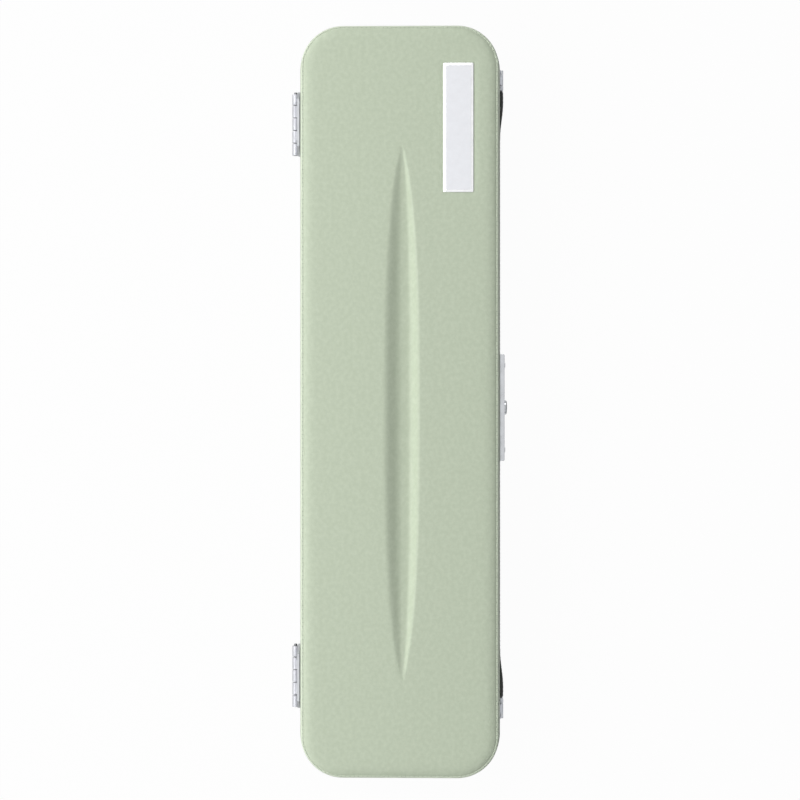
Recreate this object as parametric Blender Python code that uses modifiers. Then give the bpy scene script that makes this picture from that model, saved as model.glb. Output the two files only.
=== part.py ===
"""Slim case for a flute: two covered shells, hinged at the back and latched at the front, with a
plush insert inside and a strap handle along the front. X runs along the case, -Y is the front,
+Z is up, and the origin is the middle of the underside. Lengths are in metres."""

import math

import bmesh
import bpy
from mathutils import Matrix, Vector

# The case: its outline over the stitched lips, its height and where lid and base meet
CASE_LENGTH = 0.4220
CASE_WIDTH = 0.1108
CASE_HEIGHT = 0.0500
CORNER_RADIUS = 0.0235
LEAST_RADIUS = 0.0010
PARTING_HEIGHT = 0.0270
PARTING_GAP = 0.0004

# Clearances: between pieces that touch, round a turning or sliding piece, and past a cut
SEAT_GAP = 0.0003
RUNNING_GAP = 0.00025
OVERRUN = 0.0010

# The walls: how far the rim stands out and the lip overhangs, and the layers of the wall
RIM_FLARE = 0.0013
LIP_REACH = 0.0009
WALL_CURVE = 3
COVER_THICKNESS = 0.0012
SHELL_THICKNESS = 0.0025
SHELL_EDGE_RADIUS = 0.0030

# The stitched lips and the padded panels
LIP_THICKNESS = 0.0014
LIP_DEPTH = 0.0032
LIP_ROUNDING = 0.0003
SEAM_INSET = 0.0013
LID_PANEL_THICKNESS = 0.0050
LID_PANEL_RISE = 0.0027
LID_PANEL_ROLL = 0.0100
BASE_PANEL_THICKNESS = 0.0040
BASE_PANEL_RISE = 0.0018
BASE_PANEL_ROLL = 0.0060

# The groove pressed in the lid: a long dart, straight on its hinge side and hollow on the other.
# Its section is given as shares of the half width, from the latch side, and of the depth
GROOVE_LEFT_INSET = 0.0557
GROOVE_RIGHT_INSET = 0.0683
GROOVE_HALF_WIDTH = 0.0093
GROOVE_DEPTH = 0.0040
GROOVE_Y = -0.0015
GROOVE_SECTION_SHARES = ((-1.0, 0.0), (-0.62, 0.60), (-0.30, 0.93), (-0.08, 1.0), (0.12, 0.93),
                         (1.0, 0.0))
GROOVE_END_POWER = 3
GROOVE_BELLY_POWER = 0.7
GROOVE_TIP_SHARE = 0.999

# The bare plate on the lid, set in from its right end and its front
NAME_PLATE_LENGTH = 0.0723
NAME_PLATE_WIDTH = 0.0169
NAME_PLATE_THICKNESS = 0.0018
NAME_PLATE_CHAMFER = 0.0012
NAME_PLATE_CHAMFER_DROP = 0.0006
NAME_PLATE_CORNER = 0.0007
NAME_PLATE_SINK = 0.0003
NAME_PLATE_END_INSET = 0.0214
NAME_PLATE_FRONT_INSET = 0.0139

# The plush insert and its wells, and the lining of the lid
INSERT_RISE = 0.0030
INSERT_LIP_GAP = 0.0012
INSERT_EDGE = 0.0030
INSERT_TOP_ROUNDING = 0.0010
WELL_FLOOR = 0.0095
WELL_SHELF = 0.0145
WELL_END_WALL = 0.0170
WELL_BACK_WALL = 0.0124
WELL_FRONT_WALL = 0.0194
WELL_CORNER = 0.0080
TUBE_RADIUS = 0.0105
BODY_WELL_WIDTH = 0.0360
FRONT_WELL_WIDTH = 0.0300
HEAD_WELL_LENGTH = 0.2320
WELL_DIVIDER = 0.0140
LINING_THICKNESS = 0.0015
LINING_HEM = 0.0005

# Rivets, with their heads on the metal and their shanks in the shells
RIVET_HEAD_RADIUS = 0.0016
RIVET_HEAD_HEIGHT = 0.0006
RIVET_SHANK_RADIUS = 0.0008
RIVET_REACH = 0.0012
RIVET_DOME_SHARES = ((0.0, 1.0), (0.55, 0.80), (0.88, 0.42), (1.0, 0.0))

# The hinges: five knuckles on a pin, and a leaf with sloping ends on each side. Each is set in
# from its end of the case
HINGE_LEFT_INSET = 0.0546
HINGE_RIGHT_INSET = 0.0526
HINGE_STANDOFF = 0.0031
KNUCKLE_RADIUS = 0.0019
KNUCKLE_LENGTH = 0.0069
KNUCKLE_GAP = 0.0003
KNUCKLE_COUNT = 5
ROOT_INSET = 0.0004
ROOT_HEIGHT = 0.0016
PIN_RADIUS = 0.0009
PIN_END = 0.0004
LEAF_THICKNESS = 0.0014
LEAF_HEIGHT = 0.0090
LEAF_SHOULDER = 0.0040
LEAF_SLOPE = 0.0044
LEAF_CORNER = 0.0008
HINGE_RIVET_SPACING = 0.0220
HINGE_RIVET_DROP = 0.0058

# The latch: plates on the base and the lid, button, catch, spring and their pocket
LATCH_X = -0.0032
LATCH_PLATE_LENGTH = 0.0605
LATCH_PLATE_THICKNESS = 0.0023
LATCH_PLATE_BEVEL = 0.0007
FACE_PLATE_HEIGHT = 0.0112
KEEPER_HEIGHT = 0.0078
LATCH_RIVET_INSET = 0.00625
BUTTON_RADIUS = 0.0042
BUTTON_HEIGHT = 0.0210
BUTTON_PROUD = 0.0018
BUTTON_DEPTH = 0.0029
BUTTON_DOME = 0.0009
STEM_RADIUS = 0.0015
STEM_END = 0.0003
TONGUE_SETBACK = 0.0016
TONGUE_THICKNESS = 0.0010
TONGUE_WIDTH = 0.0180
TONGUE_SLOT = 0.0060
TONGUE_DROP = 0.0035
TONGUE_WEB = 0.0012
WINDOW_WIDTH = 0.0034
WINDOW_HEIGHT = 0.0036
WINDOW_SPACING = 0.0120
NOSE_WIDTH = 0.0026
NOSE_REACH = 0.0013
NOSE_HEIGHT = 0.0026
NOSE_TIP = 0.0008
CATCH_SETBACK = 0.0005
CATCH_THICKNESS = 0.0015
CATCH_HEIGHT = 0.0044
CATCH_WIDTH = 0.0236
SPRING_LENGTH = 0.0048
SPRING_RADIUS = 0.0020
SPRING_WIRE = 0.0003
SPRING_TURNS = 3.5
POCKET_CLEARANCE = 0.0005
POCKET_DEPTH = 0.0060
POCKET_WALL = 0.0015

# The handle: a flat strap that thickens towards its ends, in end fittings that swing in two
# brackets. The strap is set in from the ends of the case
HANDLE_LEFT_INSET = 0.0401
HANDLE_RIGHT_INSET = 0.0316
STRAP_WIDTH = 0.0095
STRAP_THIN = 0.0008
STRAP_THICK = 0.0026
STRAP_THICK_END = 0.0060
STRAP_TAPER = 0.0220
STRAP_BEHIND_PIN = 0.0014
STRAP_ABOVE_PIN = 0.0003
STRAP_BEVEL = 0.00025
STRAP_TAB = 0.0008
STRAP_TAB_THICKNESS = 0.0012
STRAP_TAB_GAP = 0.0003
FITTING_LENGTH = 0.0027
FITTING_PROUD = 0.0001
FITTING_SETBACK = 0.0001
FITTING_MARGIN = 0.0008
FITTING_BEVEL = 0.0005
HANDLE_PIN_STANDOFF = 0.00105
HANDLE_PIN_HEIGHT = 0.0115
HANDLE_PIN_RADIUS = 0.0006
HANDLE_PIN_GRIP = 0.0012
BRACKET_LENGTH = 0.0084
BRACKET_HEIGHT = 0.0090
BRACKET_FACE_SETBACK = 0.0002
BRACKET_BEVEL = 0.0005
BRACKET_BOSS_RADIUS = 0.0013
BRACKET_BORE_END = 0.0010
BRACKET_RIVET_SPACING = 0.0058
BRACKET_RIVET_SHARE = 0.75

# How finely round shapes are stepped
CORNER_STEPS = 7
WALL_STEPS = 4
ROLL_STEPS = 5
GROOVE_STEPS = 22
TAPER_STEPS = 4
ROUND_STEPS = 16
RIVET_STEPS = 8
COIL_STEPS = 10
EDGE_STEPS = 2

# Heights and faces that follow from the sizes above
LID_RIM = PARTING_HEIGHT + PARTING_GAP / 2
BASE_RIM = PARTING_HEIGHT - PARTING_GAP / 2
LID_SEAM = CASE_HEIGHT - LID_PANEL_RISE
LID_LIP_TOP = LID_SEAM - SEAT_GAP
LID_BAND_TOP = LID_LIP_TOP - LIP_THICKNESS - SEAT_GAP
LID_SHELL_TOP = CASE_HEIGHT - LID_PANEL_THICKNESS - SEAT_GAP
BASE_LIP_BOTTOM = BASE_PANEL_RISE + SEAT_GAP
BASE_BAND_BOTTOM = BASE_LIP_BOTTOM + LIP_THICKNESS + SEAT_GAP
BASE_SHELL_BOTTOM = BASE_PANEL_THICKNESS + SEAT_GAP
INSERT_BOTTOM = BASE_SHELL_BOTTOM + SHELL_THICKNESS + SEAT_GAP
INSERT_TOP = PARTING_HEIGHT + INSERT_RISE
LINING_TOP = LID_SHELL_TOP - SHELL_THICKNESS - SEAT_GAP
COVER_INSET = COVER_THICKNESS + SEAT_GAP
SHELL_INSET = COVER_INSET + SHELL_THICKNESS + SEAT_GAP

WALL_FACE = CASE_WIDTH / 2 + RIM_FLARE
METAL_BACK = WALL_FACE + SEAT_GAP
SHELL_FACE = WALL_FACE - COVER_INSET
HINGE_AXIS_Y = WALL_FACE + HINGE_STANDOFF
LATCH_FACE = METAL_BACK + LATCH_PLATE_THICKNESS
TONGUE_FACE = METAL_BACK - TONGUE_SETBACK
CATCH_FACE = TONGUE_FACE - TONGUE_THICKNESS - CATCH_SETBACK
CATCH_BACK = CATCH_FACE - CATCH_THICKNESS
STOP_FACE = CATCH_FACE + SEAT_GAP
POCKET_BACK = CATCH_BACK - SPRING_LENGTH - 2 * SEAT_GAP
POCKET_FLOOR = BUTTON_HEIGHT - POCKET_DEPTH
LATCH_RIVET_X = LATCH_PLATE_LENGTH / 2 - LATCH_RIVET_INSET
HANDLE_X = (HANDLE_LEFT_INSET - HANDLE_RIGHT_INSET) / 2
HANDLE_PIN_Y = WALL_FACE + HANDLE_PIN_STANDOFF
STRAP_BACK = HANDLE_PIN_Y - STRAP_BEHIND_PIN
STRAP_FRONT = STRAP_BACK + STRAP_THICK
STRAP_TOP = HANDLE_PIN_HEIGHT + STRAP_ABOVE_PIN
STRAP_END = (CASE_LENGTH - HANDLE_LEFT_INSET - HANDLE_RIGHT_INSET) / 2
FITTING_START = STRAP_END + SEAT_GAP
FITTING_END = FITTING_START + FITTING_LENGTH
BRACKET_START = FITTING_END + SEAT_GAP
BRACKET_FACE = HANDLE_PIN_Y - BRACKET_FACE_SETBACK

COLOURS = {
    "leather": ((0.52, 0.59, 0.46), 0.55, 0.0),
    "lip": ((0.60, 0.67, 0.53), 0.50, 0.0),
    "strap": ((0.03, 0.04, 0.04), 0.50, 0.0),
    "shell": ((0.10, 0.11, 0.10), 0.60, 0.0),
    "plush": ((0.16, 0.17, 0.16), 0.95, 0.0),
    "metal": ((0.62, 0.65, 0.68), 0.28, 1.0),
    "plate": ((0.85, 0.86, 0.88), 0.35, 1.0),
}


def new_collection(name):
    """A collection in the scene under a name."""
    collection = bpy.data.collections.new(name)
    bpy.context.scene.collection.children.link(collection)
    return collection


def material(name):
    """The material of one finish, made the first time it is asked for."""
    if name in bpy.data.materials:
        return bpy.data.materials[name]
    colour, roughness, metallic = COLOURS[name]
    finish = bpy.data.materials.new(name)
    finish.use_nodes = True
    shader = finish.node_tree.nodes["Principled BSDF"]
    shader.inputs["Base Color"].default_value = (*colour, 1)
    shader.inputs["Roughness"].default_value = roughness
    shader.inputs["Metallic"].default_value = metallic
    return finish


def add(name, mesh, finish=None, place=(0, 0, 0), turn=(0, 0, 0)):
    """An object for a mesh: a sub-part where it has a finish, and otherwise a cutter."""
    thing = bpy.data.objects.new(name, mesh)
    thing.location = place
    thing.rotation_euler = turn
    if finish:
        CASE.objects.link(thing)
        mesh.materials.clear()
        mesh.materials.append(material(finish))
    else:
        TOOLS.objects.link(thing)
        thing.hide_render = True
        thing.display_type = "WIRE"
    return thing


def baked(thing):
    """The evaluated mesh of a helper object, which is removed."""
    bpy.context.view_layer.update()
    scene = bpy.context.evaluated_depsgraph_get()
    mesh = bpy.data.meshes.new_from_object(thing.evaluated_get(scene))
    bpy.data.objects.remove(thing)
    return mesh


def outline(length, width, radius, height=0.0, x=0.0, y=0.0):
    """Points of a rounded rectangle, anticlockwise as seen from above."""
    points = []
    for quarter, (side_x, side_y) in enumerate(((1, 1), (-1, 1), (-1, -1), (1, -1))):
        for step in range(CORNER_STEPS + 1):
            angle = (quarter + step / CORNER_STEPS) * math.pi / 2
            points.append((
                x + side_x * (length / 2 - radius) + radius * math.cos(angle),
                y + side_y * (width / 2 - radius) + radius * math.sin(angle),
                height,
            ))
    return points


def ring(offset, height):
    """The outline of the lips, moved out by an offset, at a height."""
    radius = max(CORNER_RADIUS + offset, LEAST_RADIUS)
    return outline(CASE_LENGTH + 2 * offset, CASE_WIDTH + 2 * offset, radius, height)


def wall_offset(height):
    """How far the covered wall stands out from the outline of the lips at a height."""
    if height > PARTING_HEIGHT:
        share = (height - LID_RIM) / (LID_BAND_TOP - LID_RIM)
    else:
        share = (BASE_RIM - height) / (BASE_RIM - BASE_BAND_BOTTOM)
    return RIM_FLARE - (RIM_FLARE + LIP_REACH) * max(share, 0) ** WALL_CURVE


def wall_rings(inset, start, end, steps=WALL_STEPS):
    """Rings at a depth inside the wall, between two heights."""
    heights = [start + (end - start) * step / steps for step in range(steps + 1)]
    return [ring(wall_offset(height) - inset, height) for height in heights]


def loft(name, rings, capped="both"):
    """A mesh through rings listed from the bottom up, closed where it is capped, or a closed
    tube where capped is loop."""
    form = bmesh.new()
    rows = [[form.verts.new(point) for point in points] for points in rings]
    pairs = list(zip(rows, rows[1:]))
    if capped == "loop":
        pairs.append((rows[-1], rows[0]))
    for low, high in pairs:
        for here in range(len(low)):
            after = (here + 1) % len(low)
            form.faces.new((low[here], low[after], high[after], high[here]))
    if capped in ("both", "bottom"):
        form.faces.new(rows[0][::-1])
    if capped in ("both", "top"):
        form.faces.new(rows[-1])
    mesh = bpy.data.meshes.new(name)
    form.to_mesh(mesh)
    form.free()
    return mesh


def box(name, low, high, finish=None, bevel=0.0):
    """A box between two corners, its edges rounded by a bevel."""
    size = [above - below for below, above in zip(low, high)]
    form = bmesh.new()
    bmesh.ops.create_cube(form, size=1, matrix=Matrix.Diagonal((*size, 1)))
    mesh = bpy.data.meshes.new(name)
    form.to_mesh(mesh)
    form.free()
    middle = [(above + below) / 2 for below, above in zip(low, high)]
    thing = add(name, mesh, finish, middle)
    if bevel:
        round_edges(thing, bevel)
    return thing


def round_edges(thing, width):
    """Rounds the edges of a piece with a Bevel modifier."""
    edge = thing.modifiers.new("rounded edges", "BEVEL")
    edge.width = width
    edge.segments = EDGE_STEPS
    edge.limit_method = "ANGLE"


def rod(name, radius, start, end, steps=ROUND_STEPS, finish=None):
    """A cylinder between two points."""
    start, end = Vector(start), Vector(end)
    form = bmesh.new()
    bmesh.ops.create_cone(form, cap_ends=True, segments=steps, radius1=radius, radius2=radius,
                          depth=(end - start).length)
    mesh = bpy.data.meshes.new(name)
    form.to_mesh(mesh)
    form.free()
    turn = (end - start).to_track_quat("Z", "Y").to_euler()
    return add(name, mesh, finish, (start + end) / 2, turn)


def flat(name, points, thickness, finish=None, place=(0, 0, 0), turn=(0, 0, 0)):
    """A plate cut to a flat outline, with half its thickness on each side of its plane."""
    curve = bpy.data.curves.new(name, "CURVE")
    curve.dimensions = "2D"
    curve.fill_mode = "BOTH"
    curve.extrude = thickness / 2
    edge = curve.splines.new("POLY")
    edge.points.add(len(points) - 1)
    for point, (x, y) in zip(edge.points, points):
        point.co = (x, y, 0, 1)
    edge.use_cyclic_u = True
    helper = bpy.data.objects.new(name, curve)
    TOOLS.objects.link(helper)
    mesh = baked(helper)
    bpy.data.curves.remove(curve)
    form = bmesh.new()
    form.from_mesh(mesh)
    bmesh.ops.remove_doubles(form, verts=form.verts, dist=SEAT_GAP / ROUND_STEPS)
    form.to_mesh(mesh)
    form.free()
    mesh.name = name
    return add(name, mesh, finish, place, turn)


def turned(name, profile, steps):
    """A mesh turned about Z from a profile of radii and heights, from the top down."""
    mesh = bpy.data.meshes.new(name)
    points = [(radius, 0, height) for radius, height in profile]
    mesh.from_pydata(points, [(here, here + 1) for here in range(len(points) - 1)], [])
    helper = bpy.data.objects.new(name, mesh)
    TOOLS.objects.link(helper)
    lathe = helper.modifiers.new("turned", "SCREW")
    lathe.steps = lathe.render_steps = steps
    lathe.use_merge_vertices = True
    lathe.merge_threshold = SEAT_GAP / ROUND_STEPS
    result = baked(helper)
    bpy.data.meshes.remove(mesh)
    result.name = name
    return result


def combine(thing, tool, operation):
    """Cuts a piece with a tool, or joins the tool to it."""
    change = thing.modifiers.new(operation.lower(), "BOOLEAN")
    change.operation = operation
    change.object = tool


def cut(thing, *tools):
    """Cuts a piece with each tool."""
    for tool in tools:
        combine(thing, tool, "DIFFERENCE")


def cut_each(things, tool):
    """Cuts every piece in a row with one tool."""
    for thing in things:
        cut(thing, tool)


def join(thing, *tools):
    """Joins each tool to a piece."""
    for tool in tools:
        combine(thing, tool, "UNION")


def wall(thing, thickness):
    """Gives an open surface a wall on its inner side."""
    change = thing.modifiers.new("wall", "SOLIDIFY")
    change.thickness = thickness
    change.offset = -1
    change.use_even_offset = True


def tray_rings(inset, rim, closed, radius):
    """Rings of an open tray inside the wall, from its rim to the rounded edge of its closed
    side, whichever way that lies."""
    side = math.copysign(1, closed - rim)
    rings = wall_rings(inset, rim, closed - side * radius)
    turn_offset = wall_offset(closed - side * radius) - inset
    for step in range(1, EDGE_STEPS + 1):
        angle = step / EDGE_STEPS * math.pi / 2
        drop = radius * (1 - math.sin(angle))
        rings.append(ring(turn_offset - radius * (1 - math.cos(angle)), closed - side * drop))
    return rings


def panel_rings(seam, face, back, roll):
    """Rings of a padded panel, from its back, over the lip, to its rolled face."""
    step_in = -LIP_DEPTH - SEAT_GAP
    rings = [ring(step_in, back), ring(step_in, seam), ring(-SEAM_INSET, seam)]
    for step in range(1, ROLL_STEPS + 1):
        angle = step / ROLL_STEPS * math.pi / 2
        rings.append(ring(-SEAM_INSET - roll * (1 - math.cos(angle)),
                          seam + (face - seam) * math.sin(angle)))
    return rings


def make_lip(name, bottom):
    """The stitched lip: a flat ring whose outer edge is rounded."""
    top = bottom + LIP_THICKNESS
    section = ((-LIP_DEPTH, bottom), (-LIP_ROUNDING, bottom), (0, bottom + LIP_ROUNDING),
               (0, top - LIP_ROUNDING), (-LIP_ROUNDING, top), (-LIP_DEPTH, top))
    return add(name, loft(name, [ring(*point) for point in section], "loop"), "lip")


def groove_tool():
    """The dart that is pressed in the lid, as a solid that stands above the panel."""
    section = [(GROOVE_HALF_WIDTH * across, -GROOVE_DEPTH * down)
               for across, down in GROOVE_SECTION_SHARES]
    spreads = [OVERRUN * (mouth[0] - inner[0]) / (mouth[1] - inner[1])
               for mouth, inner in (section[:2], section[:-3:-1])]
    length = CASE_LENGTH - GROOVE_LEFT_INSET - GROOVE_RIGHT_INSET
    middle = (GROOVE_LEFT_INSET - GROOVE_RIGHT_INSET) / 2
    rings = []
    for step in range(GROOVE_STEPS + 1):
        along = math.sin(math.pi * (step / GROOVE_STEPS - 1 / 2)) * GROOVE_TIP_SHARE
        share = (1 - abs(along) ** GROOVE_END_POWER) ** GROOVE_BELLY_POWER
        points = [(across * share, up * share) for across, up in section]
        points[0] = (points[0][0] + spreads[0], OVERRUN)
        points[-1] = (points[-1][0] + spreads[1], OVERRUN)
        rings.append([(middle + along * length / 2, GROOVE_Y + across, CASE_HEIGHT + up)
                      for across, up in points])
    return add("groove_tool", loft("groove_tool", rings))


def make_lid_panels():
    """The lid's padded panel with its groove and the bare plate in its seat."""
    panel = add("lid_top_panel", loft("lid_top_panel", panel_rings(
        LID_SEAM, CASE_HEIGHT, CASE_HEIGHT - LID_PANEL_THICKNESS, LID_PANEL_ROLL)), "leather")
    bottom = CASE_HEIGHT - NAME_PLATE_SINK
    top = bottom + NAME_PLATE_THICKNESS
    length, width = NAME_PLATE_LENGTH, NAME_PLATE_WIDTH
    place = (CASE_LENGTH / 2 - NAME_PLATE_END_INSET - length / 2,
             NAME_PLATE_FRONT_INSET + width / 2 - CASE_WIDTH / 2, bottom)
    face = (length - 2 * NAME_PLATE_CHAMFER, width - 2 * NAME_PLATE_CHAMFER)
    rings = [outline(length, width, NAME_PLATE_CORNER, 0),
             outline(length, width, NAME_PLATE_CORNER, top - NAME_PLATE_CHAMFER_DROP - bottom),
             outline(*face, NAME_PLATE_CORNER, top - bottom)]
    plate = add("name_plate", loft("name_plate", rings), "plate", place)
    seat_size = (length + 2 * SEAT_GAP, width + 2 * SEAT_GAP, NAME_PLATE_CORNER)
    seat = add("plate_seat_tool", loft("plate_seat_tool", [
        outline(*seat_size, -SEAT_GAP), outline(*seat_size, NAME_PLATE_THICKNESS)]), None, place)
    cut(panel, groove_tool(), seat)
    return [panel, plate]


def make_lid():
    """The lid's moulded shell, its covered side, lip, panel and plush lining."""
    shell = add("lid_shell", loft("lid_shell", tray_rings(
        COVER_INSET, LID_RIM, LID_SHELL_TOP, SHELL_EDGE_RADIUS), "top"), "shell")
    wall(shell, SHELL_THICKNESS)
    band = add("lid_side_band", loft("lid_side_band", wall_rings(0, LID_RIM, LID_BAND_TOP),
                                     "none"), "leather")
    wall(band, COVER_THICKNESS)
    lining = add("lid_lining", loft("lid_lining", tray_rings(
        SHELL_INSET, LID_RIM + LINING_HEM, LINING_TOP, SHELL_EDGE_RADIUS), "top"), "plush")
    wall(lining, LINING_THICKNESS)
    web = box("keeper_notch_tool",
              (LATCH_X - TONGUE_WIDTH / 2 - POCKET_CLEARANCE, -METAL_BACK, LID_RIM - OVERRUN),
              (LATCH_X + TONGUE_WIDTH / 2 + POCKET_CLEARANCE,
               SEAT_GAP + TONGUE_THICKNESS - TONGUE_FACE, LID_RIM + TONGUE_WEB + SEAT_GAP))
    cut(shell, web)
    cut(band, web)
    lip = make_lip("lid_welt", LID_LIP_TOP - LIP_THICKNESS)
    return [shell, band, lining, lip, *make_lid_panels()], (shell, band)


def make_base():
    """The base's moulded shell with the latch pocket, its covered side, lip and panel."""
    shell = add("base_shell", loft("base_shell", tray_rings(
        COVER_INSET, BASE_RIM, BASE_SHELL_BOTTOM, SHELL_EDGE_RADIUS)[::-1], "bottom"), "shell")
    wall(shell, SHELL_THICKNESS)
    band = add("base_side_band", loft("base_side_band", wall_rings(
        0, BASE_BAND_BOTTOM, BASE_RIM), "none"), "leather")
    wall(band, COVER_THICKNESS)
    narrow = TONGUE_WIDTH / 2 + POCKET_CLEARANCE
    wide = CATCH_WIDTH / 2 + POCKET_CLEARANCE
    outside = wide + POCKET_WALL
    housing = box("pocket_housing_tool",
                  (LATCH_X - outside, COVER_THICKNESS - SHELL_FACE, POCKET_FLOOR - POCKET_WALL),
                  (LATCH_X + outside, POCKET_WALL - POCKET_BACK, BASE_RIM))
    pocket = box("pocket_tool", (LATCH_X - wide, -STOP_FACE, POCKET_FLOOR),
                 (LATCH_X + wide, -POCKET_BACK, BASE_RIM + OVERRUN))
    mouth = box("pocket_mouth_tool", (LATCH_X - narrow, -METAL_BACK, POCKET_FLOOR),
                (LATCH_X + narrow, OVERRUN - STOP_FACE, BASE_RIM + OVERRUN))
    join(shell, housing)
    cut(shell, pocket, mouth)
    cut(band, mouth)
    make_lip("base_welt", BASE_LIP_BOTTOM)
    add("base_bottom_panel", loft("base_bottom_panel", panel_rings(
        BASE_PANEL_RISE, 0, BASE_PANEL_THICKNESS, BASE_PANEL_ROLL)[::-1]), "leather")
    return shell, band, outside


def make_insert(housing_half_width):
    """The plush insert: a block that fills the base, with wells for the three joints."""
    edge = INSERT_BOTTOM + INSERT_EDGE
    rings = [ring(wall_offset(edge) - SHELL_INSET - INSERT_EDGE, INSERT_BOTTOM)]
    rings += wall_rings(SHELL_INSET, edge, BASE_RIM)
    lip = RIM_FLARE - SHELL_INSET - LINING_THICKNESS - INSERT_LIP_GAP
    rings += [ring(lip, BASE_RIM), ring(lip, INSERT_TOP - INSERT_TOP_ROUNDING),
              ring(lip - INSERT_TOP_ROUNDING, INSERT_TOP)]
    insert = add("insert_tray", loft("insert_tray", rings), "plush")
    well_length = CASE_LENGTH - 2 * WELL_END_WALL
    foot_length = well_length - HEAD_WELL_LENGTH - WELL_DIVIDER
    body_y = (CASE_WIDTH - BODY_WELL_WIDTH) / 2 - WELL_BACK_WALL
    front_y = WELL_FRONT_WALL - (CASE_WIDTH - FRONT_WELL_WIDTH) / 2
    wells = (("body", 0, body_y, well_length, BODY_WELL_WIDTH),
             ("head", (HEAD_WELL_LENGTH - well_length) / 2, front_y, HEAD_WELL_LENGTH,
              FRONT_WELL_WIDTH),
             ("foot", (well_length - foot_length) / 2, front_y, foot_length, FRONT_WELL_WIDTH))
    for name, x, y, length, width in wells:
        size = (length, width, WELL_CORNER)
        cut(insert, add(f"{name}_well_tool", loft(name, [
            outline(*size, WELL_SHELF, x, y), outline(*size, INSERT_TOP + OVERRUN, x, y)])))
        tube = WELL_FLOOR + TUBE_RADIUS
        cut(insert, rod(f"{name}_tube_tool", TUBE_RADIUS,
                        (x + WELL_CORNER - length / 2, y, tube),
                        (x + length / 2 - WELL_CORNER, y, tube)))
    notch = housing_half_width + SEAT_GAP
    cut(insert, box("insert_notch_tool",
                    (LATCH_X - notch, -WALL_FACE, POCKET_FLOOR - POCKET_WALL - SEAT_GAP),
                    (LATCH_X + notch, POCKET_WALL + SEAT_GAP - POCKET_BACK,
                     BASE_RIM + SEAT_GAP)))


def make_rivets(name, places, face, side, drilled):
    """Rivets that stand on a metal face and end in the shell behind it, and the holes that
    they pass through. The side is 1 at the back and -1 at the front."""
    seat = face + SEAT_GAP
    end = SHELL_FACE - RIVET_REACH
    profile = [(RIVET_HEAD_RADIUS * across, RIVET_HEAD_HEIGHT * up)
               for across, up in RIVET_DOME_SHARES]
    profile += [(RIVET_SHANK_RADIUS, 0), (RIVET_SHANK_RADIUS, end - seat), (0, end - seat)]
    shape = turned("rivet", profile, RIVET_STEPS)
    hole = RIVET_SHANK_RADIUS + RUNNING_GAP
    rivets = []
    for number, (x, z) in enumerate(places, 1):
        rivets.append(add(f"{name}_{number}", shape, "metal", (x, side * seat, z),
                          (-side * math.pi / 2, 0, 0)))
        tool = rod(f"{name}_hole_{number}", hole, (x, side * (seat + OVERRUN), z),
                   (x, side * (end - SEAT_GAP), z), RIVET_STEPS)
        cut_each(drilled, tool)
    return rivets


def leaf_outline(side):
    """A hinge leaf from its knuckles outwards: a straight foot, then sloping ends with their
    corners cut, along X and up or down."""
    half = (KNUCKLE_COUNT * KNUCKLE_LENGTH + (KNUCKLE_COUNT - 1) * KNUCKLE_GAP) / 2
    foot = PARTING_GAP / 2
    points = [(half, foot), (half, LEAF_SHOULDER),
              (half - LEAF_SLOPE + LEAF_CORNER, LEAF_HEIGHT - LEAF_CORNER),
              (half - LEAF_SLOPE, LEAF_HEIGHT)]
    points += [(-x, z) for x, z in points[::-1]]
    return [(x, side * z) for x, z in points]


def make_hinge(end, x, base_walls, lid_walls):
    """One hinge: its two leaves with their knuckles, the pin and the rivets."""
    pitch = KNUCKLE_LENGTH + KNUCKLE_GAP
    first = x - (KNUCKLE_COUNT - 1) * pitch / 2
    half = (KNUCKLE_COUNT * KNUCKLE_LENGTH + (KNUCKLE_COUNT - 1) * KNUCKLE_GAP) / 2
    axis = (HINGE_AXIS_Y, PARTING_HEIGHT)
    bore = rod(f"hinge_bore_{end}", PIN_RADIUS + RUNNING_GAP, (x - half - OVERRUN, *axis),
               (x + half + OVERRUN, *axis))
    lid_pieces = []
    for owner, side, mine, walls in (("base", -1, 0, base_walls), ("lid", 1, 1, lid_walls)):
        leaf = flat(f"hinge_{owner}_leaf_{end}", leaf_outline(side), LEAF_THICKNESS, "metal",
                    (x, METAL_BACK + LEAF_THICKNESS / 2, PARTING_HEIGHT), (math.pi / 2, 0, 0))
        for number in range(KNUCKLE_COUNT):
            middle = first + number * pitch
            start, stop = middle - KNUCKLE_LENGTH / 2, middle + KNUCKLE_LENGTH / 2
            label = f"{owner}_{end}_{number}"
            if number % 2 == mine:
                root = (side * ROOT_HEIGHT + PARTING_HEIGHT,
                        side * ROOT_INSET + PARTING_HEIGHT)
                join(leaf,
                     rod(f"knuckle_{label}", KNUCKLE_RADIUS, (start, *axis), (stop, *axis)),
                     box(f"knuckle_root_{label}",
                         (start + ROOT_INSET, METAL_BACK + LEAF_THICKNESS / 2, min(root)),
                         (stop - ROOT_INSET, HINGE_AXIS_Y, max(root))))
            else:
                cut(leaf, rod(f"knuckle_room_{label}", KNUCKLE_RADIUS + SEAT_GAP,
                              (start - KNUCKLE_GAP, *axis), (stop + KNUCKLE_GAP, *axis)))
        cut(leaf, bore)
        places = [(x + across * HINGE_RIVET_SPACING / 2,
                   PARTING_HEIGHT + side * HINGE_RIVET_DROP) for across in (-1, 1)]
        rivets = make_rivets(f"hinge_{owner}_rivet_{end}", places,
                             METAL_BACK + LEAF_THICKNESS, 1, (*walls, leaf))
        if owner == "lid":
            lid_pieces = [leaf, *rivets]
    rod(f"hinge_pin_{end}", PIN_RADIUS, (x - half - PIN_END, *axis), (x + half + PIN_END, *axis),
        finish="metal")
    return lid_pieces


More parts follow.
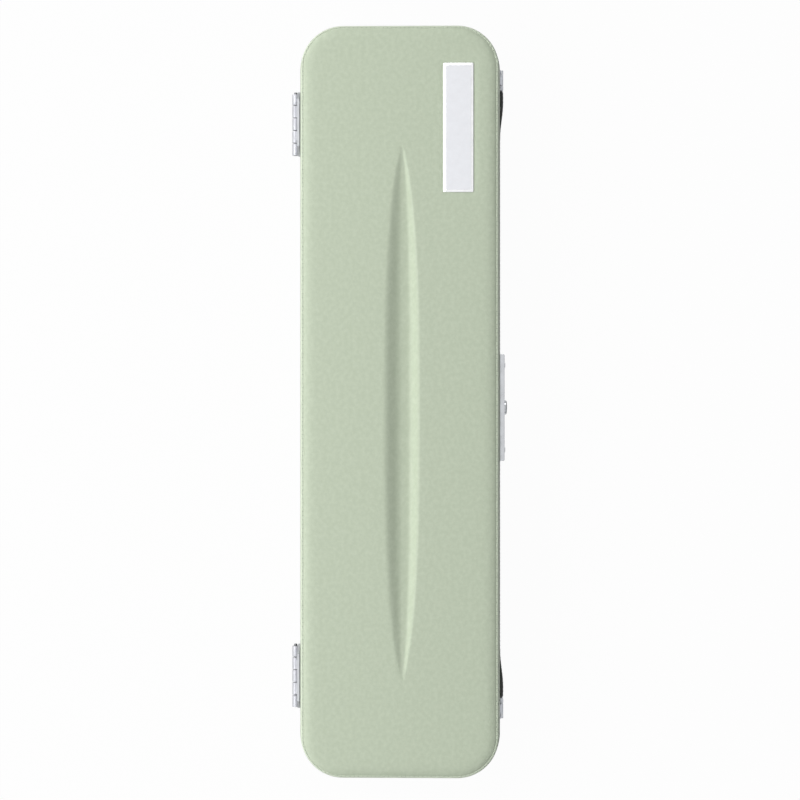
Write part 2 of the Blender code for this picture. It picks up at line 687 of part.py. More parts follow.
def latch_plate(name, bottom, height):
    """A latch plate on the front, with rounded edges."""
    half = LATCH_PLATE_LENGTH / 2
    return box(name, (LATCH_X - half, -LATCH_FACE, bottom),
               (LATCH_X + half, -METAL_BACK, bottom + height), "metal", LATCH_PLATE_BEVEL)


def make_keeper(lid_walls):
    """The lid's plate, with a forked tongue that hangs behind the base's plate."""
    plate = latch_plate("keeper_plate", LID_RIM, KEEPER_HEIGHT)
    half = TONGUE_WIDTH / 2
    back = TONGUE_THICKNESS - TONGUE_FACE
    web_bottom = LID_RIM
    tip = BUTTON_HEIGHT - TONGUE_DROP
    join(plate,
         box("keeper_web_tool", (LATCH_X - half, -METAL_BACK - LATCH_PLATE_THICKNESS / 2,
                                 web_bottom), (LATCH_X + half, back, web_bottom + TONGUE_WEB)),
         box("keeper_tongue_tool", (LATCH_X - half, -TONGUE_FACE, tip),
             (LATCH_X + half, back, web_bottom + TONGUE_WEB)))
    slot_top = LID_RIM - TONGUE_WEB
    cut(plate, box("keeper_slot_tool",
                   (LATCH_X - TONGUE_SLOT / 2, -TONGUE_FACE - OVERRUN / 2, tip - OVERRUN),
                   (LATCH_X + TONGUE_SLOT / 2, back + OVERRUN, slot_top)))
    for side in (-1, 1):
        x = LATCH_X + side * WINDOW_SPACING / 2
        cut(plate, box(f"keeper_window_tool_{side}",
                       (x - WINDOW_WIDTH / 2, -TONGUE_FACE - OVERRUN / 2,
                        BUTTON_HEIGHT - NOSE_HEIGHT / 2 - SEAT_GAP),
                       (x + WINDOW_WIDTH / 2, back + OVERRUN,
                        BUTTON_HEIGHT - NOSE_HEIGHT / 2 - SEAT_GAP + WINDOW_HEIGHT)))
    places = [(LATCH_X + side * LATCH_RIVET_X, LID_RIM + KEEPER_HEIGHT / 2)
              for side in (-1, 1)]
    return [plate, *make_rivets("keeper_rivet", places, LATCH_FACE, -1, (*lid_walls, plate))]


def make_face_plate(base_walls):
    """The base's latch plate with the button's hole."""
    plate = latch_plate("latch_face_plate", BASE_RIM - FACE_PLATE_HEIGHT, FACE_PLATE_HEIGHT)
    cut(plate, rod("button_hole_tool", BUTTON_RADIUS + SEAT_GAP,
                   (LATCH_X, -LATCH_FACE - OVERRUN, BUTTON_HEIGHT),
                   (LATCH_X, OVERRUN - METAL_BACK, BUTTON_HEIGHT), 2 * ROUND_STEPS))
    places = [(LATCH_X + side * LATCH_RIVET_X, BUTTON_HEIGHT) for side in (-1, 1)]
    make_rivets("latch_rivet", places, LATCH_FACE, -1, (*base_walls, plate))


def make_button():
    """The push button with its stem, and the catch that the stem carries."""
    face = LATCH_FACE + BUTTON_PROUD
    stem_end = CATCH_BACK + STEM_END
    dome = [(BUTTON_RADIUS * math.sin(angle), BUTTON_DOME * (math.cos(angle) - 1))
            for angle in (step / EDGE_STEPS * math.pi / 3 for step in range(EDGE_STEPS))]
    profile = dome + [(BUTTON_RADIUS, -BUTTON_DOME), (BUTTON_RADIUS, -BUTTON_DEPTH),
                      (STEM_RADIUS, -BUTTON_DEPTH), (STEM_RADIUS, stem_end - face),
                      (0, stem_end - face)]
    button = add("latch_button", turned("latch_button", profile, 2 * ROUND_STEPS), "metal",
                 (LATCH_X, -face, BUTTON_HEIGHT), (math.pi / 2, 0, 0))
    half = CATCH_WIDTH / 2
    catch = box("latch_catch", (LATCH_X - half, -CATCH_FACE, BUTTON_HEIGHT - CATCH_HEIGHT / 2),
                (LATCH_X + half, -CATCH_BACK, BUTTON_HEIGHT + CATCH_HEIGHT / 2), "metal")
    low = -NOSE_HEIGHT / 2
    nose = [(-CATCH_THICKNESS / 2, low), (NOSE_REACH, low), (NOSE_REACH, low + NOSE_TIP),
            (0, NOSE_HEIGHT / 2), (-CATCH_THICKNESS / 2, NOSE_HEIGHT / 2)]
    for side in (-1, 1):
        x = LATCH_X + side * WINDOW_SPACING / 2
        join(catch, flat(f"nose_tool_{side}", nose, NOSE_WIDTH, None,
                         (x, -CATCH_FACE, BUTTON_HEIGHT), (math.pi / 2, 0, -math.pi / 2)))
    cut(catch, rod("stem_hole_tool", STEM_RADIUS + RUNNING_GAP,
                   (LATCH_X, -CATCH_FACE - OVERRUN, BUTTON_HEIGHT),
                   (LATCH_X, OVERRUN - CATCH_BACK, BUTTON_HEIGHT)))
    return [button, catch]


def make_spring():
    """The coil spring between the catch and the back of the pocket."""
    curve = bpy.data.curves.new("latch_spring", "CURVE")
    curve.dimensions = "3D"
    curve.bevel_depth = SPRING_WIRE
    curve.bevel_resolution = 1
    curve.use_fill_caps = True
    count = round(SPRING_TURNS * COIL_STEPS)
    coil = curve.splines.new("POLY")
    coil.points.add(count)
    travel = SPRING_LENGTH - 2 * SPRING_WIRE
    for number, point in enumerate(coil.points):
        angle = 2 * math.pi * number / COIL_STEPS
        point.co = (SPRING_RADIUS * math.cos(angle), SPRING_RADIUS * math.sin(angle),
                    travel * (number / count - 1 / 2), 1)
    spring = bpy.data.objects.new("latch_spring", curve)
    spring.location = (LATCH_X, -(CATCH_BACK + POCKET_BACK) / 2, BUTTON_HEIGHT)
    spring.rotation_euler = (math.pi / 2, 0, 0)
    curve.materials.append(material("metal"))
    CASE.objects.link(spring)


def make_strap():
    """The strap: thin in the middle, thick at its ends, with a tab into each end fitting."""
    middle = (STRAP_BACK + STRAP_FRONT) / 2
    tab = (middle - STRAP_TAB_THICKNESS / 2, middle + STRAP_TAB_THICKNESS / 2)
    half = [(STRAP_END, -STRAP_BACK), (STRAP_END, -tab[0]), (STRAP_END + STRAP_TAB, -tab[0]),
            (STRAP_END + STRAP_TAB, -tab[1]), (STRAP_END, -tab[1]), (STRAP_END, -STRAP_FRONT)]
    for step in range(TAPER_STEPS + 1):
        share = step / TAPER_STEPS
        thinned = (STRAP_THICK - STRAP_THIN) * (1 - math.cos(math.pi * share)) / 2
        half.append((STRAP_END - STRAP_THICK_END - STRAP_TAPER * share,
                     thinned - STRAP_FRONT))
    points = half + [(-x, y) for x, y in half[::-1]]
    strap = flat("handle_strap", points, STRAP_WIDTH, "strap",
                 (HANDLE_X, 0, STRAP_TOP - STRAP_WIDTH / 2))
    round_edges(strap, STRAP_BEVEL)
    return strap, tab


def make_handle_end(end, side, tab, form, base_walls):
    """One end of the handle: the fitting on the strap, and the bracket that it swings in."""
    middle = (-HANDLE_PIN_Y, HANDLE_PIN_HEIGHT)

    def span(start, stop):
        return sorted((HANDLE_X + side * start, HANDLE_X + side * stop))

    low, high = span(FITTING_START, FITTING_END)
    fitting = box(f"handle_end_{end}",
                  (low, -STRAP_FRONT - FITTING_PROUD, STRAP_TOP - STRAP_WIDTH - FITTING_MARGIN),
                  (high, -STRAP_BACK - FITTING_SETBACK, STRAP_TOP + FITTING_MARGIN),
                  "metal", FITTING_BEVEL)
    low, high = span(STRAP_END - OVERRUN, STRAP_END + STRAP_TAB + SEAT_GAP)
    cut(fitting, box(f"fitting_slot_tool_{end}",
                     (low, -tab[1] - STRAP_TAB_GAP,
                      STRAP_TOP - STRAP_WIDTH - STRAP_TAB_GAP),
                     (high, STRAP_TAB_GAP - tab[0], STRAP_TOP + STRAP_TAB_GAP)))
    start, stop = BRACKET_START, BRACKET_START + BRACKET_LENGTH
    low, high = span(start, stop)
    bracket = box(f"handle_bracket_{end}",
                  (low, -BRACKET_FACE, HANDLE_PIN_HEIGHT - BRACKET_HEIGHT / 2),
                  (high, SHELL_THICKNESS - WALL_FACE, HANDLE_PIN_HEIGHT + BRACKET_HEIGHT / 2),
                  "metal", BRACKET_BEVEL)
    join(bracket, rod(f"bracket_boss_tool_{end}", BRACKET_BOSS_RADIUS, (low, *middle),
                      (high, *middle)))
    bore_start = HANDLE_X + side * (FITTING_END - HANDLE_PIN_GRIP - SEAT_GAP)
    bore_end = HANDLE_X + side * (stop - BRACKET_BORE_END)
    bore = rod(f"handle_bore_tool_{end}", HANDLE_PIN_RADIUS + RUNNING_GAP,
               (bore_start, *middle), (bore_end, *middle), RIVET_STEPS)
    cut(bracket, form, bore)
    cut(fitting, bore)
    x = HANDLE_X + side * (start + BRACKET_LENGTH * BRACKET_RIVET_SHARE)
    places = [(x, HANDLE_PIN_HEIGHT + step * BRACKET_RIVET_SPACING / 2) for step in (-1, 1)]
    make_rivets(f"handle_bracket_rivet_{end}", places, BRACKET_FACE, -1, (*base_walls, bracket))
    low, high = span(FITTING_END - HANDLE_PIN_GRIP, stop - BRACKET_BORE_END - SEAT_GAP)
    pin = rod(f"handle_pin_{end}", HANDLE_PIN_RADIUS, (low, *middle), (high, *middle),
              RIVET_STEPS, "metal")
    return [fitting, pin]


def make_handle(base_walls):
    """The strap handle, its end fittings and pins, and its brackets with their rivets."""
    strap, tab = make_strap()
    form = add("base_form_tool", loft("base_form_tool", wall_rings(
        -SEAT_GAP, BASE_BAND_BOTTOM, BASE_RIM, 2 * WALL_STEPS)))
    pieces = [strap]
    for end, side in (("left", -1), ("right", 1)):
        pieces += make_handle_end(end, side, tab, form, base_walls)
    return pieces


def hang(name, place, pieces):
    """Parents moving pieces to an empty that lies on their joint's axis."""
    axis = bpy.data.objects.new(name, None)
    axis.location = place
    CASE.objects.link(axis)
    for piece in pieces:
        piece.parent = axis
        piece.matrix_parent_inverse = Matrix.Translation(-Vector(place))


def shade():
    """Shades every sub-part smooth, with sharp edges kept."""
    for thing in CASE.objects:
        if thing.type == "MESH":
            thing.data.shade_smooth()
            thing.data.set_sharp_from_angle(angle=math.radians(35))


for old in list(bpy.data.objects):
    bpy.data.objects.remove(old)

CASE = new_collection("flute_case")
TOOLS = new_collection("cutters")

lid, lid_walls = make_lid()
base_shell, base_band, housing_half_width = make_base()
base_walls = (base_shell, base_band)
make_insert(housing_half_width)
lid += make_hinge("left", HINGE_LEFT_INSET - CASE_LENGTH / 2, base_walls, lid_walls)
lid += make_hinge("right", CASE_LENGTH / 2 - HINGE_RIGHT_INSET, base_walls, lid_walls)
lid += make_keeper(lid_walls)
make_face_plate(base_walls)
button = make_button()
make_spring()
handle = make_handle(base_walls)
hang("lid_axis", (0, HINGE_AXIS_Y, PARTING_HEIGHT), lid)
hang("button_axis", (LATCH_X, -LATCH_FACE, BUTTON_HEIGHT), button)
hang("handle_axis", (HANDLE_X, -HANDLE_PIN_Y, HANDLE_PIN_HEIGHT), handle)
shade()
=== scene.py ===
"""The looks of a slim flute case: a sage leatherette cover with stitched lips, nickel fittings,
a dark strap handle and a plush insert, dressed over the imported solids. Lengths are in metres."""

import math
from functools import partial

import bmesh
import bpy
import numpy as np
from mathutils import Matrix, Vector


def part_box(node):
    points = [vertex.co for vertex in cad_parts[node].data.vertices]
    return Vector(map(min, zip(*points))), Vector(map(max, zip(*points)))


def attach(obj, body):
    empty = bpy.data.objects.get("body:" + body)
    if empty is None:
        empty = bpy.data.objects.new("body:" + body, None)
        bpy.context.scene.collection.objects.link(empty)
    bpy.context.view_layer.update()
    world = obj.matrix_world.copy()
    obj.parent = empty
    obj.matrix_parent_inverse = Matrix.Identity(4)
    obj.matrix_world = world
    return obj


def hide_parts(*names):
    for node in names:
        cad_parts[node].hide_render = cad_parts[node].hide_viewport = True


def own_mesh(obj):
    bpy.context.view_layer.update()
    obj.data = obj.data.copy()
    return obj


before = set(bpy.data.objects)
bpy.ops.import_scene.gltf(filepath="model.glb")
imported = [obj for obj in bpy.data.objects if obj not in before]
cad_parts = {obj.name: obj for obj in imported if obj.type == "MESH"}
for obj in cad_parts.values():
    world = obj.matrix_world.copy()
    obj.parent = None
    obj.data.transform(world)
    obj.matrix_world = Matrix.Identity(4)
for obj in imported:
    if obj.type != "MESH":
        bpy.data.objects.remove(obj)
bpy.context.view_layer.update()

# The camera looks straight down on the closed lid, with the case's right end up and the latch to
# the right. It stands a little way out over the latch side.
camera_place = Vector((0.00106, -0.030, 1.200))
camera_aim = Vector((0.00106, -0.0004, 0.050))
view_width = 0.4476
camera_near = 0.01


def in_scene(name, data):
    """A new object in the scene."""
    made = bpy.data.objects.new(name, data)
    bpy.context.scene.collection.objects.link(made)
    return made


def stand(thing, place, away, top):
    """Places a camera or lamp, its back one way and its top another."""
    back = away.normalized()
    across = Vector(top).cross(back).normalized()
    turn = Matrix((across, back.cross(across), back)).transposed().to_4x4()
    thing.matrix_world = Matrix.Translation(place) @ turn


camera = in_scene("camera", bpy.data.cameras.new("camera"))
stand(camera, camera_place, camera_place - camera_aim, (1, 0, 0))
camera.data.lens = camera.data.sensor_width * (camera_place - camera_aim).length / view_width
camera.data.clip_start = camera_near
bpy.context.scene.camera = camera
bpy.context.scene.view_settings.view_transform = "Standard"


# The studio: a dim room, brighter overhead, with a long soft lamp above the hinge side, one more
# beyond the case's right end, and a white floor. Bright metal mirrors white walls with a dim
# band along the horizon.
room_axis = (0.48, 0.34, 0.81)
room_dim_end = -0.30
room_dim = (0.030, 0.040, 0.055, 1)
room_bright = (0.465, 0.465, 0.465, 1)
horizon_level = 0.20
horizon_top = 0.40
lamps = (("hinge_side_lamp", (-0.02, 0.81, 0.81), (2.00, 0.80), 16.2),
         ("right_end_lamp", (2.40, 0.30, 1.50), (1.20, 1.20), 13.5))
white = (1, 1, 1, 1)
floor_size = 6.0
floor_drop = 0.0003
floor_glow_share = 0.97
floor_grey = (0.55, 0.55, 0.55, 1)


def with_settings(thing, **settings):
    """A thing with its settings made."""
    for name, value in settings.items():
        setattr(thing, name, value)
    return thing


def set_inputs(node, inputs):
    """Sets a node's inputs, or links them to sockets or nodes' first outputs."""
    for name, value in inputs.items():
        if isinstance(value, bpy.types.Node):
            value = value.outputs[0]
        if isinstance(value, bpy.types.NodeSocket):
            node.id_data.links.new(value, node.inputs[name])
        else:
            node.inputs[name].default_value = value


def add_node(tree, kind, inputs=None, **settings):
    """A node, of the tree's family unless its kind names another."""
    family = "" if "Node" in kind else tree.bl_idname.removesuffix("Tree")
    made = with_settings(tree.nodes.new(family + kind), **settings)
    set_inputs(made, inputs or {})
    return made


def calc(add, operation, *values, **settings):
    """A node that works out one value from others."""
    return add("ShaderNodeMath", dict(enumerate(values)), operation=operation, **settings)


def ranged(add, value, span=(0, 1), target=(0, 1)):
    """A value held to a span and carried over to a target span."""
    return add("MapRange", {"Value": value, "From Min": span[0], "From Max": span[1],
                            "To Min": target[0], "To Max": target[1]})


def blended(add, share, first, second):
    """A colour between two others."""
    return add("Mix", {"Factor": share, 6: first, 7: second}, data_type="RGBA").outputs[2]


def seen_by_eye(add):
    """1 for what the camera sees, directly, mirrored or through glass."""
    rays = add("LightPath").outputs
    seen = calc(add, "ADD", rays["Is Camera Ray"], rays["Is Glossy Ray"])
    return calc(add, "ADD", seen, rays["Is Transmission Ray"], use_clamp=True)


world = bpy.data.worlds.new("studio")
world.use_nodes = True
bpy.context.scene.world = world
world.node_tree.nodes.clear()
add = partial(add_node, world.node_tree)
outlook = add("TexCoord").outputs["Generated"]
along_axis = add("VectorMath", {0: outlook, 1: room_axis}, operation="DOT_PRODUCT")
overhead = ranged(add, along_axis.outputs["Value"], (room_dim_end, 1))
ambient = add("Background", {"Color": blended(add, overhead, room_dim, room_bright)})
elevation = add("SeparateXYZ", {0: outlook}).outputs[2]
wall = calc(add, "MAXIMUM", ranged(add, elevation, (0, horizon_top), (horizon_level, 1)),
            add("LightPath").outputs["Is Camera Ray"])
backdrop = add("Background", {"Color": white, "Strength": wall})
surroundings = add("MixShader", {0: seen_by_eye(add), 1: ambient, 2: backdrop})
add("OutputWorld", {"Surface": surroundings})

for name, place, sizes, watts in lamps:
    lamp = in_scene(name, bpy.data.lights.new(name, "AREA"))
    with_settings(lamp.data, shape="RECTANGLE", size=sizes[0], size_y=sizes[1], energy=watts)
    stand(lamp, place, Vector(place), (0, 1, 0))

half = floor_size / 2
floor_mesh = bpy.data.meshes.new("floor")
floor_mesh.from_pydata([(-half, -half, -floor_drop), (half, -half, -floor_drop),
                        (half, half, -floor_drop), (-half, half, -floor_drop)], [], [(0, 1, 2, 3)])
floor = in_scene("floor", floor_mesh)
floor_finish = bpy.data.materials.new("white paper")
floor_finish.use_nodes = True
floor_finish.node_tree.nodes.clear()
add = partial(add_node, floor_finish.node_tree)
matte = add("BsdfDiffuse", {"Color": floor_grey})
glow = add("Emission", {"Color": white})
glow_share = calc(add, "MULTIPLY", seen_by_eye(add), floor_glow_share)
add("OutputMaterial", {"Surface": add("MixShader", {0: glow_share, 1: matte, 2: glow})})
floor.data.materials.append(floor_finish)


# The two moulded shells: trays of dark plastic with a fine texture, one for the base with the
# latch's pocket and one for the lid. The covers hide all but their rims.
def new_finish(name, plain):
    """A material, a function that adds its nodes, and its shader."""
    finish = bpy.data.materials.new(name)
    finish.use_nodes = True
    shader = finish.node_tree.nodes["Principled BSDF"]
    set_inputs(shader, plain)
    return finish, partial(add_node, finish.node_tree), shader


def own_place(add):
    """The object's own coordinates."""
    return add("TexCoord").outputs["Object"]


def bump(add, height, strength, depth, **settings):
    """A normal that follows a fine relief."""
    return add("Bump", {"Height": height, "Strength": strength, "Distance": depth}, **settings)


def noise(add, **inputs):
    """Noise over the object's own place, unless it is given another."""
    return add("TexNoise", {"Vector": own_place(add), **inputs})


def dress_node(name, finish):
    """Gives a CAD node that stays in view a finish."""
    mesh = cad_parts[name].data
    mesh.materials.clear()
    mesh.materials.append(finish)


shell_finish, add, shader = new_finish("moulded plastic", {"Specular IOR Level": 0.4})
texture = noise(add, Scale=2600.0, Detail=2.0, Roughness=0.6)
patches = noise(add, Scale=60.0, Detail=3.0)
set_inputs(shader, {"Base Color": blended(add, patches, (0.060, 0.066, 0.062, 1), (0.085, 0.092, 0.087, 1)),
    "Roughness": ranged(add, texture, target=(0.46, 0.66)), "Normal": bump(add, texture, 0.5, 0.00003)})
for name in ("base_shell", "lid_shell"):
    dress_node(name, shell_finish)


# The base's side cover: leatherette glued round the shell, turned over at the rim. Its wall
# leans in to the lips along a soft curve, and is cut out for the latch's tongue.
lip_low, lip_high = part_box("lid_welt")
lip_length, lip_width = lip_high.x - lip_low.x, lip_high.y - lip_low.y
lip_radius = 0.0235
least_radius = 0.0010
band_low, band_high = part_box("base_side_band")
rim_flare = (band_high.y - band_low.y - lip_width) / 2
lip_reach = 0.0009
wall_power = 3
cover_thickness = 0.0012
hem_radius = 0.00045
wall_steps = 14
hem_steps = 5
corner_steps = 18
side_spacing = 0.0030
weld_distance = 0.000001
tongue_clearance = 0.0005
tongue_width = 0.0180
pocket_floor = 0.0150


def new_group(name, inputs, outputs, kind="ShaderNodeTree"):
    """A node group, a function that adds its nodes, its inputs and its output node. A socket is
    given by its type or its value."""
    group = bpy.data.node_groups.new(name, kind)
    types = {float: "Float", tuple: "Color", Vector: "Vector"}
    for direction, sockets in (("INPUT", inputs), ("OUTPUT", outputs)):
        for label, value in sockets.items():
            typed = isinstance(value, str)
            socket = group.interface.new_socket(label, in_out=direction, socket_type="NodeSocket" + (
                value if typed else types[type(value)]))
            if not typed:
                socket.default_value = value
    return (group, partial(add_node, group), group.nodes.new("NodeGroupInput").outputs,
            group.nodes.new("NodeGroupOutput"))


surface = {"Color": "Color", "Roughness": "Float", "Normal": "Vector"}
grain, add, given, result = new_group("leather grain", {"Cells Per Metre": 1250.0, "Grain Depth": 0.00004,
    "Pale": "Color", "Deep": "Color", "Smooth": 0.48, "Matt": 0.64}, surface)
pebbles = add("TexVoronoi", {
    "Vector": own_place(add), "Scale": given["Cells Per Metre"], "Smoothness": 0.35},
    feature="SMOOTH_F1").outputs["Distance"]
fine = noise(add, Scale=calc(add, "MULTIPLY", given["Cells Per Metre"], 2.7), Detail=3.0, Roughness=0.6)
mottle = noise(add, Scale=420.0, Detail=4.0, Roughness=0.55)
sheen = noise(add, Scale=230.0, Detail=3.0)
creased = calc(add, "MULTIPLY_ADD", pebbles, 0.35, ranged(add, mottle, (0.32, 0.68)), use_clamp=True)
set_inputs(result, {"Color": blended(add, creased, given["Pale"], given["Deep"]),
    "Roughness": ranged(add, sheen, (0.3, 0.7), (given["Smooth"], given["Matt"])),
    "Normal": bump(add, calc(add, "MULTIPLY_ADD", fine, 0.45, pebbles), 0.7,
                   given["Grain Depth"], invert=True)})


def surface_finish(name, group, values, plain):
    """A material with a shared effect's colour, roughness and normal."""
    finish, add, shader = new_finish(name, plain)
    effect = add("Group", values, node_tree=group).outputs
    set_inputs(shader, {"Base Color": effect["Color"], "Roughness": effect["Roughness"],
                        "Normal": effect["Normal"]})
    return finish


cover_finish = surface_finish("sage leatherette", grain, {
    "Pale": (0.548, 0.614, 0.480, 1), "Deep": (0.491, 0.558, 0.426, 1)}, {"Specular IOR Level": 0.24})


def corner_arcs(reach, radius, steps):
    """The four corner arcs of a rounded outline, anticlockwise."""
    arcs = []
    for quarter, sides in enumerate(((1, 1), (-1, 1), (-1, -1), (1, -1))):
        angles = (quarter + np.arange(steps + 1) / steps) * math.pi / 2
        arcs.append(np.multiply(sides, reach) + radius * np.column_stack((np.cos(angles), np.sin(angles))))
    return arcs


def case_outline(offset, height, front=0.0):
    """The lips' outline at a height, moved out by an offset, and farther at the front."""
    radius = max(lip_radius + offset, least_radius)
    arcs = corner_arcs((lip_length / 2 + offset - radius, lip_width / 2 + offset - radius), radius,
                       corner_steps)
    points = []
    for number, arc in enumerate(arcs):
        after = arcs[(number + 1) % len(arcs)]
        straight = (lip_length if number % 2 == 0 else lip_width) - 2 * lip_radius
        shares = np.arange(1, round(straight / side_spacing)) / round(straight / side_spacing)
        points += [arc, arc[-1] + shares[:, None] * (after[0] - arc[-1])]
    flat = np.vstack(points)
    flat[:, 1] -= front * (0.5 - flat[:, 1] / lip_width)
    return np.column_stack((flat, np.full(len(flat), height)))


def skin(rings, closed="ends"):
    """A mesh through rings of points, capped at its ends or its start, or closed to a loop."""
    count = len(rings[0])
    rows = len(rings)
    here = np.arange(count)
    after = (here + 1) % count
    faces = []
    for row in range(rows if closed == "loop" else rows - 1):
        low, high = row * count, (row + 1) % rows * count
        faces += np.column_stack((low + here, low + after, high + after, high + here)).tolist()
    if closed != "loop":
        faces.append(here[::-1].tolist())
    if closed == "ends":
        faces.append(((rows - 1) * count + here).tolist())
    mesh = bpy.data.meshes.new("skin")
    mesh.from_pydata(np.vstack(rings).tolist(), [], faces)
    mesh.update()
    return mesh


def one_mesh(*meshes):
    """Meshes made into one, welded, with its faces turned outwards."""
    form = bmesh.new()
    for mesh in meshes:
        form.from_mesh(mesh)
        bpy.data.meshes.remove(mesh)
    bmesh.ops.remove_doubles(form, verts=form.verts, dist=weld_distance)
    bmesh.ops.recalc_face_normals(form, faces=form.faces)
    made = bpy.data.meshes.new("one")
    form.to_mesh(made)
    form.free()
    return made


def new_piece(name, mesh, finish=None, sharp_degrees=40):
    """A piece for a mesh, shaded smooth but for its sharp edges."""
    piece = in_scene(name, mesh)
    mesh.name = name
    if finish:
        mesh.materials.clear()
        mesh.materials.append(finish)
    mesh.shade_smooth()
    mesh.set_sharp_from_angle(angle=math.radians(sharp_degrees))
    return piece


def stand_in(piece, body, slot_name, *nodes):
    """Puts a piece on its body, in place of any CAD nodes. Its slot name is not used."""
    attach(piece, body)
    if nodes:
        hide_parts(*nodes)


def wall_offset(share):
    """How far the wall stands out from the lips, at a share of its height."""
    return rim_flare - (rim_flare + lip_reach) * share ** wall_power


def side_cover(name, rim, edge):
    """The leatherette round a shell, from its rim to its edge under the lip."""
    side = math.copysign(1, edge - rim)
    height = abs(edge - rim)
    angles = [math.pi / 2 * step / hem_steps for step in range(hem_steps + 1)]
    front = [(hem_radius * (1 - math.sin(angle)), hem_radius * (1 - math.cos(angle))) for angle in angles]
    front += [(0, hem_radius + (height - hem_radius) * step / wall_steps)
              for step in range(1, wall_steps + 1)]
    back = [(cover_thickness - inset, drop) for inset, drop in front[::-1]]
    rings = [case_outline(wall_offset(drop / height) - inset, rim + side * drop)
             for inset, drop in front + back]
    return new_piece(name, one_mesh(skin(rings, "loop")), cover_finish)


def changed(piece, kind, **settings):
    """Gives a piece a modifier with its settings."""
    return with_settings(piece.modifiers.new(kind.lower(), kind), **settings)


def plain_mesh(piece):
    """A mesh of a piece as its modifiers leave it."""
    bpy.context.view_layer.update()
    seen = piece.evaluated_get(bpy.context.evaluated_depsgraph_get())
    return bpy.data.meshes.new_from_object(seen)


def bake(piece):
    """Makes a piece's modifiers a part of its mesh."""
    mesh = plain_mesh(piece)
    old = piece.data
    piece.modifiers.clear()
    piece.data = mesh
    bpy.data.meshes.remove(old)
    mesh.name = piece.name


def combined(piece, operation, meshes):
    """Adds closed meshes to a piece or cuts them out of it."""
    for mesh in meshes:
        tool = in_scene("tool", mesh)
        changed(piece, "BOOLEAN", operation=operation, object=tool)
        bake(piece)
        bpy.data.objects.remove(tool)


def box_mesh(low, high):
    """A closed box between two corners."""
    form = bmesh.new()
    middle = (Vector(low) + Vector(high)) / 2
    size = Matrix.Diagonal((*(Vector(high) - Vector(low)), 1))
    bmesh.ops.create_cube(form, size=1, matrix=Matrix.Translation(middle) @ size)
    mesh = bpy.data.meshes.new("box")
    form.to_mesh(mesh)
    form.free()
    return mesh


catch_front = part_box("latch_catch")[0].y
keeper_low, keeper_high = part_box("keeper_plate")
latch_x = (keeper_low.x + keeper_high.x) / 2
mouth_half = tongue_width / 2 + tongue_clearance
base_cover = side_cover("base_side_cover", band_high.z, band_low.z)
combined(base_cover, "DIFFERENCE", [box_mesh((latch_x - mouth_half, band_low.y - hem_radius, pocket_floor),
    (latch_x + mouth_half, catch_front, band_high.z + hem_radius))])
stand_in(base_cover, "base", "cover_leather", "base_side_band")


# The stitched lips, one round the lid and one round the base: a folded strip of the leatherette,
# paler than the cover all over, with a slanting outer edge, sewn down with one row of thread.
lip_thickness = 0.0014
lip_depth = 0.0032
lip_slant = 0.0006
lip_rounding = 0.0003
stitch_pitch = 0.0024
stitch_length = 0.0018
thread_radius = 0.00019
hole_radius = 0.00022
stitch_inset = 0.00120

lip_finish = surface_finish("sage lip leatherette", grain, {
    "Pale": (0.635, 0.705, 0.562, 1), "Deep": (0.588, 0.660, 0.518, 1),
    "Grain Depth": 0.00003}, {"Specular IOR Level": 0.45})

shape = {"Geometry": "Geometry"}
sweep, add, given, result = new_group("folded strip", {"Geometry": "Geometry", "Upper Width": lip_depth,
    "Lower Width": lip_depth, "Lower Shift": 0.0, "Thickness": lip_thickness, "Rounding": lip_rounding,
    "Material": "Material"}, shape, "GeometryNodeTree")
path = add("MeshToCurve", {"Mesh": given["Geometry"]})
profile = add("CurvePrimitiveQuadrilateral", {
    "Height": given["Thickness"], "Bottom Width": given["Upper Width"],
    "Top Width": given["Lower Width"], "Offset": given["Lower Shift"]}, mode="TRAPEZOID")
rounded = add("FilletCurve", {"Curve": profile, "Radius": given["Rounding"], "Count": 4}, mode="POLY")
swept = add("CurveToMesh", {"Curve": path, "Profile Curve": rounded})
set_inputs(result, {"Geometry": add("SetMaterial", {"Geometry": swept, "Material": given["Material"]})})

sewing, add, given, result = new_group("row of stitches", {"Geometry": "Geometry", "Pitch": stitch_pitch,
    "Stitch Length": stitch_length, "Thread Radius": thread_radius,
    "Hole Radius": hole_radius, "Thread": "Material", "Hole": "Material"}, shape, "GeometryNodeTree")
path = add("MeshToCurve", {"Mesh": given["Geometry"]})
points = add("CurveToPoints", {"Curve": path, "Length": given["Pitch"]}, mode="LENGTH")
along = add("FunctionNodeAlignRotationToVector", {"Vector": points.outputs["Tangent"]}, axis="X")
ball = add("MeshUVSphere", {"Segments": 8, "Rings": 5, "Radius": 1.0})
stitch_size = add("ShaderNodeCombineXYZ", {
    0: calc(add, "MULTIPLY", given["Stitch Length"], 0.5), 1: given["Thread Radius"],
    2: given["Thread Radius"]})
stitch = add("Transform", {"Geometry": ball, "Scale": stitch_size})
stitch = add("SetMaterial", {"Geometry": stitch, "Material": given["Thread"]})
hole_place = add("ShaderNodeCombineXYZ", {0: calc(add, "MULTIPLY", given["Pitch"], 0.5)})
hole = add("MeshIcoSphere", {"Radius": given["Hole Radius"], "Subdivisions": 2})
hole = add("Transform", {"Geometry": hole, "Translation": hole_place})
hole = add("SetMaterial", {"Geometry": hole, "Material": given["Hole"]})
both = add("JoinGeometry", {"Geometry": stitch})
set_inputs(both, {"Geometry": hole})
row = add("InstanceOnPoints", {"Points": points, "Instance": both, "Rotation": along})
set_inputs(result, {"Geometry": add("RealizeInstances", {"Geometry": row})})


